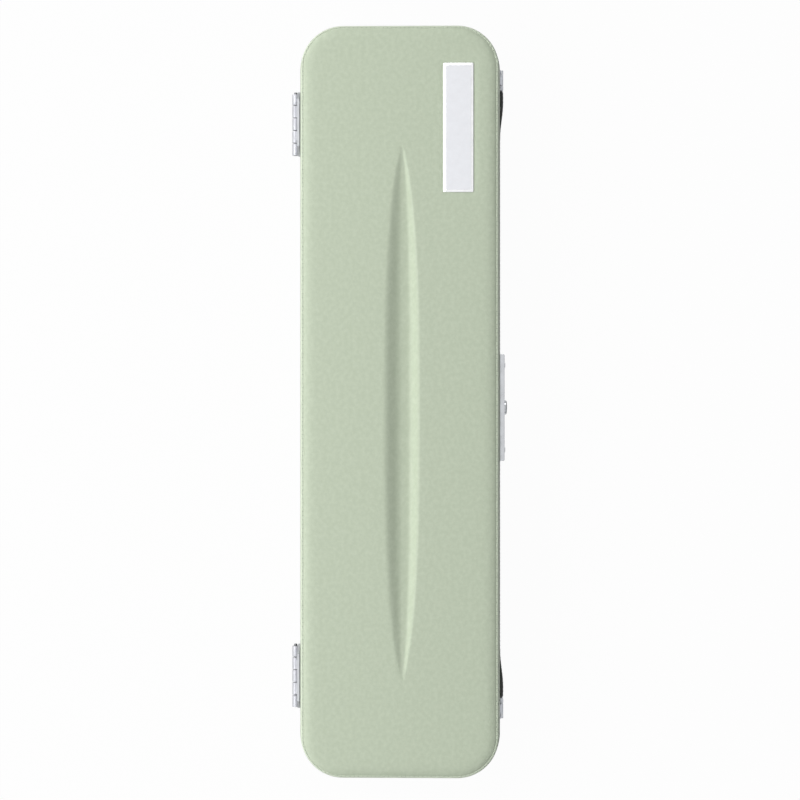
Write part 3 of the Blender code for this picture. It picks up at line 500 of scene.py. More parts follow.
def grown(start, tree, values):
    """The mesh that a geometry tree makes from a start mesh."""
    helper = in_scene("start", start)
    change = changed(helper, "NODES", node_group=tree)
    for socket in tree.interface.items_tree:
        if socket.in_out == "INPUT" and socket.name in values:
            change[socket.identifier] = values[socket.name]
    mesh = plain_mesh(helper)
    bpy.data.objects.remove(helper)
    bpy.data.meshes.remove(start)
    return mesh


def line_mesh(points, closed=True):
    """Edges along points, for a geometry tree to follow."""
    count = len(points)
    edges = [(here, (here + 1) % count) for here in range(count if closed else count - 1)]
    mesh = bpy.data.meshes.new("line")
    mesh.from_pydata([tuple(point) for point in points], edges, [])
    return mesh


def thread_finish(name, colour):
    """Twisted sewing thread: fine slanting strands across the stitch."""
    finish, add, shader = new_finish(name, {"Roughness": 0.6, "Specular IOR Level": 0.35})
    strands = add("TexWave", {"Vector": own_place(add), "Scale": 1400.0, "Distortion": 1.5},
        bands_direction="DIAGONAL").outputs[1]
    darker = tuple(0.72 * value for value in colour)
    set_inputs(shader, {"Base Color": blended(add, strands, (*darker, 1), (*colour, 1)),
        "Normal": bump(add, strands, 0.6, 0.00005)})
    return finish


def hole_finish(name, colour):
    """The shade inside a needle hole."""
    finish, add, shader = new_finish(name, {"Roughness": 0.9, "Specular IOR Level": 0.1})
    darker = tuple(0.6 * value for value in colour)
    set_inputs(shader, {"Base Color": blended(add, noise(add, Scale=3000.0), (*darker, 1), (*colour, 1))})
    return finish


sage_thread = thread_finish("sage thread", (0.60, 0.66, 0.54))
sage_hole = hole_finish("sage needle hole", (0.20, 0.24, 0.18))


def make_lip(owner, node, seam, front=0.0):
    """One lip and its row of stitches, its face at the seam."""
    outward = 1 if owner == "lid" else -1
    upper = lip_depth - lip_slant if owner == "lid" else lip_depth
    lower = 2 * lip_depth - lip_slant - upper
    middle = case_outline(upper / 2 - lip_depth, seam - outward * lip_thickness / 2, front)
    lip = new_piece(f"{owner}_lip", grown(line_mesh(middle), sweep, {
        "Upper Width": upper, "Lower Width": lower, "Lower Shift": (lower - upper) / 2,
        "Material": lip_finish}))
    stand_in(lip, owner, "cover_leather", node)
    row = line_mesh(case_outline(-stitch_inset, seam, front))
    stitches = new_piece(f"{owner}_lip_stitches", grown(row, sewing, {
        "Thread": sage_thread, "Hole": sage_hole}))
    stand_in(stitches, owner, "cover_leather")


make_lip("base", "base_welt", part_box("base_welt")[0].z)


# The base's bottom panel: covered board under thin foam, with a rolled edge that meets the lip.
# The case stands on its flat middle.
bottom_low, bottom_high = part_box("base_bottom_panel")
seam_inset = 0.0016
panel_setback = 0.0003
bottom_rise = 0.0021
bottom_roll = 0.0080
roll_steps = 16
roll_power = 5.0
crease_width = 0.00040
crease_share = 0.06


def panel_edge(seam, face, roll, front=0.0):
    """Rings of a panel's edge, from seam to face: a gentle roll, and a crease at the thread."""
    rings = []
    for step in range(roll_steps + 1):
        inward = roll * (step / roll_steps) ** 2
        rolled = (1 - inward / roll) ** roll_power
        creased = max(1 - inward / crease_width, 0) ** 2
        drop = (1 - crease_share) * rolled + crease_share * creased
        rings.append(case_outline(-seam_inset - inward, face + (seam - face) * drop, front))
    return rings


back_offset = -lip_depth - panel_setback
rings = [case_outline(back_offset, bottom_high.z), case_outline(back_offset, bottom_rise)]
rings += panel_edge(bottom_rise, bottom_low.z, bottom_roll)
bottom_panel = new_piece("base_bottom_cover", skin(rings[::-1]), cover_finish)
stand_in(bottom_panel, "base", "cover_leather", "base_bottom_panel")


# The insert: a block of foam flocked with charcoal plush, pressed into the base, with a well for
# each of the flute's three joints. A cloth simulation swells it softly at the wells' edges.
insert_voxel = 0.0030
insert_slack = 0.0006
smooth_rounds = 3
smooth_share = 0.5
swell_cap = 0.0009
swell_frames = 20
foam_pressure = 4.0
swell_quality = 4
cad_weld_distance = 0.000002
least_move = 1e-9

pile, add, given, result = new_group("plush pile", {"Lit": "Color", "Shade": "Color",
    "Fibres Per Metre": 2400.0, "Pile Depth": 0.00012}, surface)
fibres = noise(add, Scale=given["Fibres Per Metre"], Detail=4.0, Roughness=0.7)
strokes = noise(add, Scale=28.0, Detail=3.0, Distortion=1.2)
tips = calc(add, "MULTIPLY_ADD", fibres, 0.9, ranged(add, strokes, (0.4, 0.6), (0.25, 0.75)))
tips = ranged(add, tips, (0.45, 1.45))
set_inputs(result, {"Color": blended(add, tips, given["Shade"], given["Lit"]),
    "Roughness": ranged(add, fibres, target=(0.85, 1.0)),
    "Normal": bump(add, fibres, 0.8, given["Pile Depth"])})
plush_finish = surface_finish("charcoal plush", pile, {
    "Lit": (0.115, 0.130, 0.122, 1), "Shade": (0.052, 0.060, 0.056, 1)},
    {"Specular IOR Level": 0.15, "Sheen Weight": 0.35, "Sheen Roughness": 0.4,
     "Sheen Tint": (0.75, 0.82, 0.78, 1)})


def solid_copy(node, name, finish):
    """A piece in a CAD node's shape, its loose triangles joined."""
    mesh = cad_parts[node].data.copy()
    mesh.name = name
    form = bmesh.new()
    form.from_mesh(mesh)
    bmesh.ops.remove_doubles(form, verts=form.verts, dist=cad_weld_distance)
    bmesh.ops.dissolve_limit(form, angle_limit=math.radians(1), verts=form.verts, edges=form.edges)
    form.to_mesh(mesh)
    form.free()
    mesh.materials.clear()
    mesh.materials.append(finish)
    return in_scene(name, mesh)


def points_of(mesh):
    """The places of a mesh's points, as an array."""
    places = np.zeros(len(mesh.vertices) * 3)
    mesh.vertices.foreach_get("co", places)
    return places.reshape(-1, 3)


insert = solid_copy("insert_tray", "plush_insert", plush_finish)
changed(insert, "REMESH", mode="VOXEL", voxel_size=insert_voxel)
changed(insert, "DISPLACE", strength=-insert_slack, mid_level=0)
changed(insert, "SMOOTH", iterations=smooth_rounds, factor=smooth_share)
bake(insert)
start = points_of(insert.data)
cloth = changed(insert, "CLOTH")
with_settings(cloth.settings, use_pressure=True, uniform_pressure_force=foam_pressure,
              quality=swell_quality)
cloth.settings.effector_weights.gravity = 0
with_settings(cloth.point_cache, frame_start=1, frame_end=swell_frames)
for number in range(1, swell_frames + 1):
    bpy.context.scene.frame_set(number)
bake(insert)
bpy.context.scene.frame_set(1)
moved = points_of(insert.data) - start
length = np.linalg.norm(moved, axis=1, keepdims=True)
moved *= np.minimum(1, swell_cap / np.maximum(length, least_move))
insert.data.vertices.foreach_set("co", (start + moved).ravel())
changed(insert, "SUBSURF", levels=1, render_levels=1)
bake(insert)
insert.data.materials.clear()
insert.data.materials.append(plush_finish)
insert.data.shade_smooth()
stand_in(insert, "base", "plush", "insert_tray")


# The bright metal of the latch and fittings: pressed steel, nickel plated and polished, with
# fine hazing and handling marks.
edge_round = 0.00018

polish, add, given, result = new_group("polished metal", {"Tone": "Color", "Clean": 0.14, "Hazed": 0.30,
    "Stroke": Vector((1, 1, 1)), "Scratch Depth": 0.000004}, surface)
haze = noise(add, Scale=190.0, Detail=5.0, Roughness=0.6)
stretched = add("VectorMath", {0: own_place(add), 1: given["Stroke"]}, operation="MULTIPLY")
scratches = noise(add, Vector=stretched, Scale=2200.0, Detail=3.0)
dulled = ranged(add, haze, (0.3, 0.7), (1.0, 0.93))
set_inputs(result, {"Color": add("VectorMath", {0: given["Tone"], "Scale": dulled}, operation="SCALE"),
    "Roughness": ranged(add, haze, (0.35, 0.7), (given["Clean"], given["Hazed"])),
    "Normal": bump(add, scratches, 0.5, given["Scratch Depth"])})


def metal_finish(name, tone, metallic=1.0, **values):
    """A metal of a tone, with any other inputs of its effect."""
    return surface_finish(name, polish, {"Tone": (*tone, 1), **values}, {"Metallic": metallic})


brushed_along = (0.15, 1.0, 1.0)
bright_metal = metal_finish("polished nickel", (0.62, 0.635, 0.66), Stroke=brushed_along)


def ease(piece, degrees):
    """Rounds a metal piece's edges and evens its shading."""
    changed(piece, "BEVEL", width=edge_round, segments=2, limit_method="ANGLE",
            angle_limit=math.radians(degrees), use_clamp_overlap=True)
    bake(piece)
    piece.data.shade_smooth()
    piece.data.set_sharp_from_angle(angle=math.radians(degrees))
    changed(piece, "WEIGHTED_NORMAL", keep_sharp=True)


def metal_copy(node, name, body, finish=bright_metal, additions=()):
    """A metal piece in a CAD node's shape, with any additions, its edges eased."""
    piece = solid_copy(node, name, finish)
    combined(piece, "UNION", additions)
    ease(piece, 50)
    stand_in(piece, body, "bright_metal", node)


# The latch: a plate on each half, and behind the base's plate the button's catch, which holds
# the two windows of the keeper's tongue. The coil spring behind the catch pushes it out again.
keeper_web_depth = 0.0010
cover_gap = 0.00005
button_dome = 0.0004
button_rim = 0.0006
button_depth = 0.0026
button_edge = 0.0002
stem_radius = 0.0015
turning_steps = 64
dome_steps = 14
spring_wire = 0.0003
spring_turns = 3.5
spring_steps = 28

metal_copy("latch_face_plate", "latch_front_plate", "base")
lid_band_low, lid_band_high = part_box("lid_side_band")
backing = box_mesh((keeper_low.x, band_low.y - keeper_web_depth, lid_band_low.z),
                   (keeper_high.x, band_low.y - cover_gap, keeper_high.z))
metal_copy("keeper_plate", "latch_keeper_plate", "lid", additions=[backing])
metal_copy("latch_catch", "latch_catch_bar", "latch_button")

button_low, button_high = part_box("latch_button")
button_radius = (button_high.z - button_low.z) / 2
button_z = (button_high.z + button_low.z) / 2
face_radius = button_radius - button_rim
shoulder = button_dome + button_rim
length = button_high.y - button_low.y
profile = [(face_radius * share, button_dome * share ** 2) for share in np.linspace(0, 1, dome_steps)]
profile += [(button_radius, shoulder), (button_radius, button_depth - button_edge),
            (button_radius - button_edge, button_depth), (stem_radius, button_depth),
            (stem_radius, length - button_edge), (stem_radius - button_edge, length), (0, length)]
angles = 2 * math.pi * np.arange(turning_steps) / turning_steps
button_mesh = one_mesh(skin([np.column_stack((
    radius * np.cos(angles), np.full(turning_steps, depth), radius * np.sin(angles)))
    for radius, depth in profile]))
button_mesh.transform(Matrix.Translation((latch_x, button_low.y, button_z)))
button = new_piece("latch_push_button", button_mesh, bright_metal, 30)
# Painted reflection: the sloping rim round the button's face gets a dark metal. It stands in for the dark
# ring that a polished dome mirrors there.
button.data.materials.append(metal_finish("painted dark reflection rim", (0.16, 0.17, 0.18), Clean=0.20, Hazed=0.34))
for face in button.data.polygons:
    if button_dome < face.center.y - button_low.y < shoulder:
        face.material_index = 1
stand_in(button, "latch_button", "bright_metal", "latch_button")

spring_low, spring_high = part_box("latch_spring")
coil_radius = (spring_high.z - spring_low.z) / 2 - spring_wire
spring_length = spring_high.y - spring_low.y
wire = with_settings(bpy.data.curves.new("coil", "CURVE"), dimensions="3D",
                     bevel_depth=spring_wire, bevel_resolution=3, use_fill_caps=True)
coil = wire.splines.new("POLY")
count = round(spring_turns * spring_steps)
coil.points.add(count)
for number, point in enumerate(coil.points):
    angle = 2 * math.pi * number / spring_steps
    share = number / count
    eased_share = share * share * (3 - 2 * share)
    point.co = (latch_x + coil_radius * math.cos(angle),
                spring_low.y + spring_wire + (spring_length - 2 * spring_wire) * eased_share,
                button_z + coil_radius * math.sin(angle), 1)
helper = in_scene("coil", wire)
spring = new_piece("latch_coil_spring", plain_mesh(helper), bright_metal, 60)
bpy.data.objects.remove(helper)
stand_in(spring, "base", "spring_steel", "latch_spring")
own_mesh(spring)


# The handle: a flat strap of dark leather, edge-painted and sewn, its ends folded double and
# held in two metal fittings that swing on pins in brackets riveted to the base.
strap_low, strap_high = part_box("handle_strap")
strap_x = (strap_low.x + strap_high.x) / 2
strap_tab = 0.0008
strap_half = (strap_high.x - strap_low.x) / 2 - strap_tab
strap_middle = (strap_low.z + strap_high.z) / 2
strap_reach = (strap_high.z - strap_low.z) / 2
strap_thickness = 0.0008
strap_back = strap_high.y
strap_front = strap_back - strap_thickness
fold_thickness = strap_front - strap_low.y
strap_thick_end = 0.0060
strap_skive = 0.0220
strap_nose = 0.0022
blunt_share = 0.4
strap_feather = 0.00012
strap_rounding = 0.00035
rounding_share = 0.45
strap_corner_steps = 4
strap_seam_gap = 0.00005
strap_paint_start = 0.0005
strap_paint_full = 0.0002
sewn_inset = 0.0014
slate_thread_radius = 0.00016
strap_hole_radius = 0.00018
strap_station = 0.0025
fold_steps = 40

worn_metal = metal_finish("worn nickel", (0.50, 0.515, 0.55), Clean=0.24, Hazed=0.42, Stroke=brushed_along)
for end in ("left", "right"):
    metal_copy(f"handle_bracket_{end}", f"handle_bracket_plate_{end}", "base", worn_metal)
    metal_copy(f"handle_end_{end}", f"handle_end_fitting_{end}", "handle", worn_metal)
    dress_node(f"handle_pin_{end}", bright_metal)

strap_finish, add, shader = new_finish("dark strap leather", {"Specular IOR Level": 0.5})
effect = add("Group", {"Pale": (0.036, 0.047, 0.048, 1), "Deep": (0.022, 0.030, 0.031, 1),
    "Cells Per Metre": 1500.0, "Smooth": 0.34, "Matt": 0.50}, node_tree=grain).outputs
height = add("SeparateXYZ", {0: own_place(add)}).outputs[2]
from_middle = calc(add, "ABSOLUTE", calc(add, "SUBTRACT", height, strap_middle))
painted = ranged(add, from_middle, (strap_reach - strap_paint_start, strap_reach - strap_paint_full))
set_inputs(shader, {"Base Color": blended(add, painted, effect["Color"], (0.012, 0.015, 0.016, 1)),
    "Roughness": add("Mix", {"Factor": painted, 2: effect["Roughness"], 3: 0.24}),
    "Normal": effect["Normal"]})


def strip(stations, back_of, front_of):
    """Rounded sections of a flat strip along X, from its back to its front."""
    rings = []
    for x in stations:
        back, front = back_of(x), front_of(x)
        radius = min(strap_rounding, (back - front) * rounding_share)
        arcs = corner_arcs(((back - front) / 2 - radius, strap_reach - radius), radius, strap_corner_steps)
        flat = np.vstack(arcs) + ((back + front) / 2, strap_middle)
        rings.append(np.column_stack((np.full(len(flat), x), flat)))
    return rings


def strap_face(x):
    """Where the strap's front lies: out over the folded ends, which thin inwards."""
    from_end = strap_half - abs(x - strap_x)
    share = min(max((from_end - strap_thick_end) / strap_skive, 0), 1)
    nose_share = min(from_end / strap_nose, 1)
    roundness = (blunt_share + (1 - blunt_share) * math.sqrt(1 - (1 - nose_share) ** 2))
    return strap_front - fold_thickness * roundness * (1 + math.cos(math.pi * share)) / 2


stations = np.linspace(strap_x - strap_half, strap_x + strap_half, round(2 * strap_half / strap_station))
parts = [skin(strip(stations, lambda x: strap_back, lambda x: strap_front))]
fold_back = strap_front - strap_seam_gap
fold_length = strap_thick_end + strap_skive
from_fold = fold_length * np.linspace(0, 1, fold_steps) ** 2
for side in (-1, 1):
    stations = np.sort(strap_x + side * (strap_half - from_fold))
    parts.append(skin(strip(stations, lambda x: fold_back,
                            lambda x: min(strap_face(x), fold_back - strap_feather))))
strap = new_piece("strap_leather", one_mesh(*parts), strap_finish, 60)
stand_in(strap, "handle", "strap_leather", "handle_strap")

strap_thread = thread_finish("slate thread", (0.10, 0.12, 0.12))
strap_hole = hole_finish("strap needle hole", (0.012, 0.014, 0.014))
lines = []
run = strap_half - sewn_inset
stations = np.linspace(strap_x - run, strap_x + run, round(2 * run / strap_station))
for z in (strap_low.z + sewn_inset, strap_high.z - sewn_inset):
    lines.append([(x, strap_face(x), z) for x in stations])
    lines.append([(strap_x - run, strap_back, z), (strap_x + run, strap_back, z)])
rows = [grown(line_mesh(line, False), sewing, {
    "Thread": strap_thread, "Hole": strap_hole, "Thread Radius": slate_thread_radius,
    "Hole Radius": strap_hole_radius}) for line in lines]
stitch_mesh = one_mesh(*rows)
for finish in (strap_thread, strap_hole):
    stitch_mesh.materials.append(finish)
stand_in(new_piece("strap_stitches", stitch_mesh), "handle", "strap_leather")


# The hinges: pressed steel leaves, one riveted to each half, with five knuckles rolled in turn
# from their edges round a dark steel pin. The sheet bends out smoothly and ends in an open roll.
knuckle_radius = 0.0019
knuckle_count = 5
knuckle_gap = 0.0003
knuckle_trim = 0.00012
leaf_thickness = 0.0014
leaf_foot = 0.0002
leaf_shoulder = 0.0040
leaf_slope = 0.0044
leaf_corner = 0.0008
bend_radius = 0.0008
bend_sink = 0.00001
knuckle_foot = 0.0004
bore_clearance = 0.00025
pin_recess = 0.0008
pin_show = 0.0007
knuckle_steps = 48
bend_steps = 8
hinge_metal = metal_finish("nickel plated sheet", (0.50, 0.505, 0.532), Clean=0.58, Hazed=0.70,
                           Stroke=brushed_along)
pin_metal = metal_finish("dark pin steel", (0.16, 0.16, 0.17), Clean=0.35, Hazed=0.50)


def prism(points, axis, start, stop):
    """A closed prism on an outline, along X for axis 0 or along Y for 1."""
    return one_mesh(skin([np.insert(points, axis, along, axis=1) for along in (start, stop)]))


def arc(middle, radius, first, last, steps):
    """Points along an arc, by its angles in radians."""
    return [(middle[0] + radius * math.cos(angle), middle[1] + radius * math.sin(angle))
            for angle in np.linspace(first, last, steps + 1)]


def rod(middle, radius, start, stop):
    """A closed round rod along X."""
    return prism(arc(middle, radius, 0, 2 * math.pi, knuckle_steps)[1:], 0, start, stop)


def hinge_leaf(owner, end):
    """One leaf with its rolled knuckles, shaped round the other leaf's."""
    node = f"hinge_{owner}_leaf_{end}"
    low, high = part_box(node)
    pin_low, pin_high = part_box(f"hinge_pin_{end}")
    axis = (high.y - knuckle_radius, (pin_low.z + pin_high.z) / 2)
    side = 1 if owner == "lid" else -1
    half = (high.x - low.x) / 2
    reach = max(abs(high.z - axis[1]), abs(low.z - axis[1]))
    middle = (low.x + high.x) / 2
    face = low.y + leaf_thickness
    outline = [(half, leaf_foot), (half, leaf_shoulder),
               (half - leaf_slope + leaf_corner, reach - leaf_corner), (half - leaf_slope, reach)]
    outline += [(-x, z) for x, z in outline[::-1]]
    outline = [(middle + x, axis[1] + side * z) for x, z in outline]
    leaf = new_piece(f"hinge_{owner}_plate_{end}", prism(outline, 1, low.y, face), hinge_metal)
    length = (2 * half - (knuckle_count - 1) * knuckle_gap) / knuckle_count
    bend_y = face - bend_sink + bend_radius
    rise = math.sqrt((knuckle_radius + bend_radius) ** 2 - (axis[0] - bend_y) ** 2)
    tangent = math.atan2(rise, bend_y - axis[0])
    closing = math.pi - math.asin(knuckle_foot / knuckle_radius)
    inside = (low.y + face) / 2
    section = [(inside, knuckle_foot), (inside, rise + bend_radius), (face - bend_sink, rise + bend_radius)]
    section += arc((bend_y, rise), bend_radius, math.pi, tangent + math.pi, bend_steps)
    section += arc((axis[0], 0), knuckle_radius, tangent, closing - 2 * math.pi, knuckle_steps)[1:]
    section = [(y, axis[1] + side * z) for y, z in section]
    rooms, knuckles = [], []
    for number in range(knuckle_count):
        start = low.x + number * (length + knuckle_gap)
        stop = start + length
        if number == knuckle_count - 1:
            stop -= pin_show
        if (number % 2 == 0) == (owner == "base"):
            knuckles.append(prism(section, 0, start + knuckle_trim, stop - knuckle_trim))
        else:
            rooms.append(rod(axis, knuckle_radius + knuckle_gap, start - knuckle_gap, stop + knuckle_gap))
    combined(leaf, "DIFFERENCE", rooms)
    combined(leaf, "UNION", knuckles)
    combined(leaf, "DIFFERENCE", [rod(axis, (pin_high.z - pin_low.z) / 2 + bore_clearance,
                                      low.x - leaf_thickness, high.x + leaf_thickness)])
    ease(leaf, 40)
    stand_in(leaf, owner, "bright_metal", node)


for end in ("left", "right"):
    hinge_leaf("base", end)
    hinge_leaf("lid", end)
    low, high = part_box(f"hinge_pin_{end}")
    shaft = rod(((low.y + high.y) / 2, (low.z + high.z) / 2), (high.z - low.z) / 2,
                low.x + pin_recess, high.x)
    pin = new_piece(f"hinge_pin_rod_{end}", shaft, pin_metal, 50)
    ease(pin, 50)
    stand_in(pin, "base", "bright_metal", f"hinge_pin_{end}")


# The rivets: round heads on the metal plates and brackets, with plain shanks that end in the
# shells. One object holds those of the base and one those of the lid.
corners = [f"{end}_{number}" for end in ("left", "right") for number in (1, 2)]
rivet_names = {
    "base": [f"{row}_{corner}" for row in ("hinge_base_rivet", "handle_bracket_rivet")
             for corner in corners] + ["latch_rivet_1", "latch_rivet_2"],
    "lid": [f"hinge_lid_rivet_{corner}" for corner in corners] + ["keeper_rivet_1", "keeper_rivet_2"]}
head_height = 0.0006
flush_share = 0.25
head_radius = 0.0016
shank_radius = 0.0008

riveting, add, given, result = new_group("rivets", {"Geometry": "Geometry", "Head Radius": head_radius,
    "Head Height": head_height, "Shank Radius": shank_radius,
    "Material": "Material"}, shape, "GeometryNodeTree")
facing = add("InputNamedAttribute", {"Name": "facing"}, data_type="FLOAT_VECTOR")
length = add("ShaderNodeVectorMath", {0: facing}, operation="LENGTH")
turned = add("FunctionNodeAlignRotationToVector", {"Vector": facing}, axis="Z")
ball = add("MeshUVSphere", {"Segments": 28, "Rings": 14, "Radius": 1.0})
size = add("ShaderNodeCombineXYZ", {
    0: given["Head Radius"], 1: given["Head Radius"], 2: given["Head Height"]})
head = add("Transform", {"Geometry": ball, "Scale": size})
proud = add("InputNamedAttribute", {"Name": "proud"}, data_type="FLOAT")
shank = add("MeshCylinder", {"Vertices": 16, "Radius": given["Shank Radius"], "Depth": 1.0})
shank = add("Transform", {"Geometry": shank, "Translation": (0, 0, -0.5)})
both = add("JoinGeometry")
for shown, stretch in ((head, proud), (shank, length.outputs["Value"])):
    size = add("ShaderNodeCombineXYZ", {0: 1.0, 1: 1.0, 2: stretch})
    set_inputs(both, {"Geometry": add("InstanceOnPoints", {
        "Points": given["Geometry"], "Instance": shown, "Rotation": turned, "Scale": size})})
real = add("RealizeInstances", {"Geometry": both})
set_inputs(result, {"Geometry": add("SetMaterial", {"Geometry": real, "Material": given["Material"]})})

for owner, names in rivet_names.items():
    places, directions, heights = [], [], []
    for name in names:
        low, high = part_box(name)
        side = math.copysign(1, low.y)
        outer = high.y if side > 0 else low.y
        places.append(((low.x + high.x) / 2, outer - side * head_height, (low.z + high.z) / 2))
        directions.append((0, side * (high.y - low.y - head_height), 0))
        heights.append(1.0 if name.startswith("handle") else flush_share)
    start = bpy.data.meshes.new("rivet places")
    start.from_pydata(places, [], [])
    mark = start.attributes.new("facing", "FLOAT_VECTOR", "POINT")
    mark.data.foreach_set("vector", np.array(directions).ravel())
    mark = start.attributes.new("proud", "FLOAT", "POINT")
    mark.data.foreach_set("value", heights)
    rivets = new_piece(f"{owner}_rivets", grown(start, riveting, {"Material": bright_metal}))
    stand_in(rivets, owner, "bright_metal", *names)


# The lid's side cover, like the base's, with its own turned edge at the rim and an opening for
# the latch's tongue, and then the lid's stitched lip.
panel_low, panel_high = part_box("lid_top_panel")
lid_seam_rise = 0.0013
lid_front_reach = 0.00048
seam_height = panel_high.z - lid_seam_rise
tongue_web = 0.0015
lid_cover = side_cover("lid_side_cover", lid_band_low.z, seam_height - lip_thickness)
combined(lid_cover, "DIFFERENCE", [box_mesh(
    (latch_x - mouth_half, lid_band_low.y - hem_radius, lid_band_low.z - hem_radius),
    (latch_x + mouth_half, catch_front, lid_band_low.z + tongue_web))])
stand_in(lid_cover, "lid", "cover_leather", "lid_side_band")
make_lip("lid", "lid_welt", seam_height, lid_front_reach)


# The lid's top panel: foam over board, covered with leatherette, its edge rolled down to the
# lip. A long dart with a soft V section is pressed in the middle, and the plate sits in the foam.
plate_low, plate_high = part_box("name_plate")
plate_middle = (plate_low + plate_high) / 2
plate_half = (plate_high - plate_low) / 2
lid_roll = 0.0120
lid_crown = 0.00025
groove_x = -0.0063
groove_y = -0.0015
groove_half_length = 0.1490
groove_half_width = 0.0093
groove_depth = 0.0040
groove_section = ((-1.05, 0.0), (-0.97, 0.07), (-0.88, 0.25), (-0.78, 0.50), (-0.66, 0.78),
                         (-0.56, 0.93), (-0.47, 0.99), (-0.40, 1.0), (-0.25, 0.975),
                         (0.05, 0.895), (0.22, 0.80), (0.40, 0.635), (0.60, 0.40), (0.80, 0.18),
                         (0.90, 0.095), (1.00, 0.03), (1.10, 0.0))
groove_softness = 0.08
soft_steps = 9
groove_end_power = 3
groove_belly_power = 0.7
groove_fade_power = 1.3
zone_share = 1.2
least_width = 1e-6
centre_half = 0.168
groove_spacing = 0.00035
plain_spacing = 0.0012
plate_sink = 0.0003
plate_press = 0.0014


def groove_drop(x, y):
    """How deep the dart is pressed: hollow on the latch's side, straight on the hinges'."""
    along = np.clip(np.abs(x - groove_x) / groove_half_length, 0, 1)
    narrowing = (1 - along ** groove_end_power) ** groove_belly_power
    across = (y - groove_y) / np.maximum(groove_half_width * narrowing, least_width)
    places, drops = zip(*groove_section)
    spreads = np.linspace(-1, 1, soft_steps) * groove_softness
    drop = sum(np.interp(across + spread, places, drops) for spread in spreads)
    return groove_depth * narrowing ** groove_fade_power * drop / soft_steps


def plate_drop(x, y):
    """How far the foam is pressed down under and beside the plate."""
    beyond_x = np.abs(x - plate_middle.x) - plate_half.x
    beyond_y = np.abs(y - plate_middle.y) - plate_half.y
    away = np.hypot(np.maximum(beyond_x, 0), np.maximum(beyond_y, 0))
    share = np.clip(1 - away / plate_press, 0, 1)
    return plate_sink * share * share * (3 - 2 * share)


edge = panel_edge(seam_height, panel_high.z, lid_roll, lid_front_reach)
outer = edge[-1]
flat_half = np.abs(outer[:, 0]).max() - (lip_radius - seam_inset - lid_roll)
centre = np.zeros_like(outer)
centre[:, 0] = groove_x + np.clip(outer[:, 0] / flat_half, -1, 1) * centre_half
centre[:, 1] = groove_y
span = lip_width / 2 - seam_inset - lid_roll
zone = zone_share * groove_half_width
shares = np.concatenate((
    np.linspace(1, zone / span, round((span - zone) / plain_spacing), endpoint=False)[1:],
    np.linspace(zone / span, 0, round(zone / groove_spacing) + 1)))
back = [case_outline(back_offset, panel_low.z), case_outline(back_offset, seam_height)]
rings = back + edge
for share in shares:
    ring = centre + (outer - centre) * share
    ring[:, 2] = panel_high.z
    rings.append(ring)
for ring in rings[len(back):]:
    x, y = ring[:, 0], ring[:, 1]
    crown_share = (1 - (2 * x / lip_length) ** 2) * (1 - (2 * y / lip_width) ** 2)
    ring[:, 2] += lid_crown * crown_share - groove_drop(x, y) - plate_drop(x, y)
lid_panel = new_piece("lid_panel_cover", one_mesh(skin(rings, "start")), cover_finish, 60)
stand_in(lid_panel, "lid", "cover_leather", "lid_top_panel")


# The bare plate: a strip of satin aluminium with bright chamfered edges, brushed along its
# length and pressed into the panel near one corner.
plate_lowering = 0.0003
plate_chamfer = 0.0014
plate_chamfer_drop = 0.0008
plate_corner = 0.0007
plate_corner_steps = 8
plate_edge = 0.00012
finely_brushed = (0.02, 1.0, 1.0)

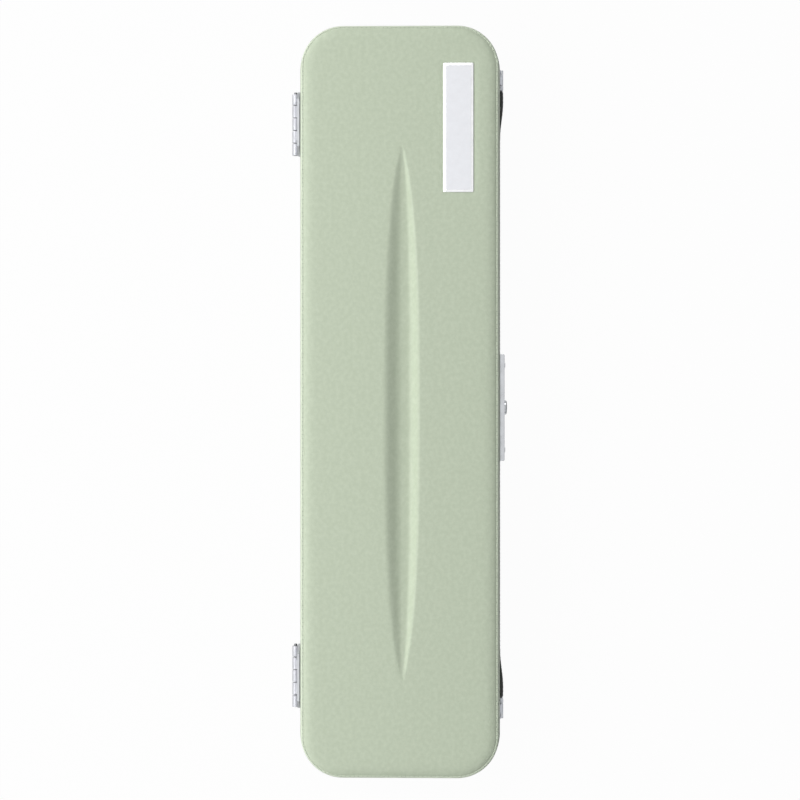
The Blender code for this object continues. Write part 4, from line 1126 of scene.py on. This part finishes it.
plate_top = plate_high.z - plate_lowering
shoulder = plate_top - plate_chamfer_drop
rings = []
for inset, height in ((plate_edge, plate_low.z), (0, plate_low.z + plate_edge), (0, shoulder - plate_edge),
                      (plate_edge, shoulder), (plate_chamfer - plate_edge, plate_top - plate_edge / 2),
                      (plate_chamfer, plate_top)):
    reach = (plate_half.x - inset - plate_corner, plate_half.y - inset - plate_corner)
    flat = np.vstack(corner_arcs(reach, plate_corner, plate_corner_steps))
    flat += (plate_middle.x, plate_middle.y)
    rings.append(np.column_stack((flat, np.full(len(flat), height))))
plate_finish = metal_finish("satin aluminium", (0.77, 0.78, 0.81), 0.55, Clean=0.38, Hazed=0.46,
                            Stroke=finely_brushed, **{"Scratch Depth": 0.00001})
plate = new_piece("bare_plate", skin(rings), plate_finish, 12)
plate.data.materials.append(metal_finish("bright cut aluminium", (0.95, 0.955, 0.97), Clean=0.20,
                                         Hazed=0.30, Stroke=finely_brushed))
for face in plate.data.polygons:
    if shoulder < face.center.z < plate_top - plate_edge / 2:
        face.material_index = 1
stand_in(plate, "lid", "plate_aluminium", "name_plate")


# The lid's lining: thin foam flocked with the same plush, glued in the lid's shell, with a soft
# corner all round and a ceiling that swells a little.
lining_low, lining_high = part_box("lid_lining")
lining_thickness = 0.0015
lining_corner = 0.0060
lining_swell = 0.0010
swell_power = 4
lining_steps = 10
ceiling_steps = 30
ceiling_share = 0.999
lining_edge = 0.0030
lid_wall_height = lid_band_high.z - lid_band_low.z


def lining_rings(inset, top, corner):
    """Offsets and heights up the lining's wall and round its corner."""
    heights = np.linspace(lining_low.z, top - corner, lining_steps + 1)
    rings = [(wall_offset((height - lid_band_low.z) / lid_wall_height) - inset, height)
             for height in heights]
    turn_offset = rings[-1][0]
    for step in range(1, lining_steps + 1):
        angle = step / lining_steps * math.pi / 2
        rings.append((turn_offset - corner * (1 - math.cos(angle)), top - corner * (1 - math.sin(angle))))
    return rings


lining_inset = wall_offset((lining_low.z - lid_band_low.z) / lid_wall_height)
lining_inset -= (lining_high.y - lining_low.y - lip_width) / 2
outside = lining_rings(lining_inset, lining_high.z, lining_edge)
ceiling = lining_high.z - lining_thickness
inside = lining_rings(lining_inset + lining_thickness, ceiling, lining_corner)
ceiling_offset = inside[-1][0]
ceiling_reach = ceiling_share * (lip_width / 2 + ceiling_offset)
for step in range(1, ceiling_steps):
    share = step / ceiling_steps
    inside.append((ceiling_offset - ceiling_reach * share,
                   ceiling - lining_swell * (1 - (1 - share) ** swell_power)))
rings = [case_outline(offset, height) for offset, height in inside[::-1] + outside]
lining = new_piece("plush_lid_lining", skin(rings), plush_finish, 60)
stand_in(lining, "lid", "plush", "lid_lining")
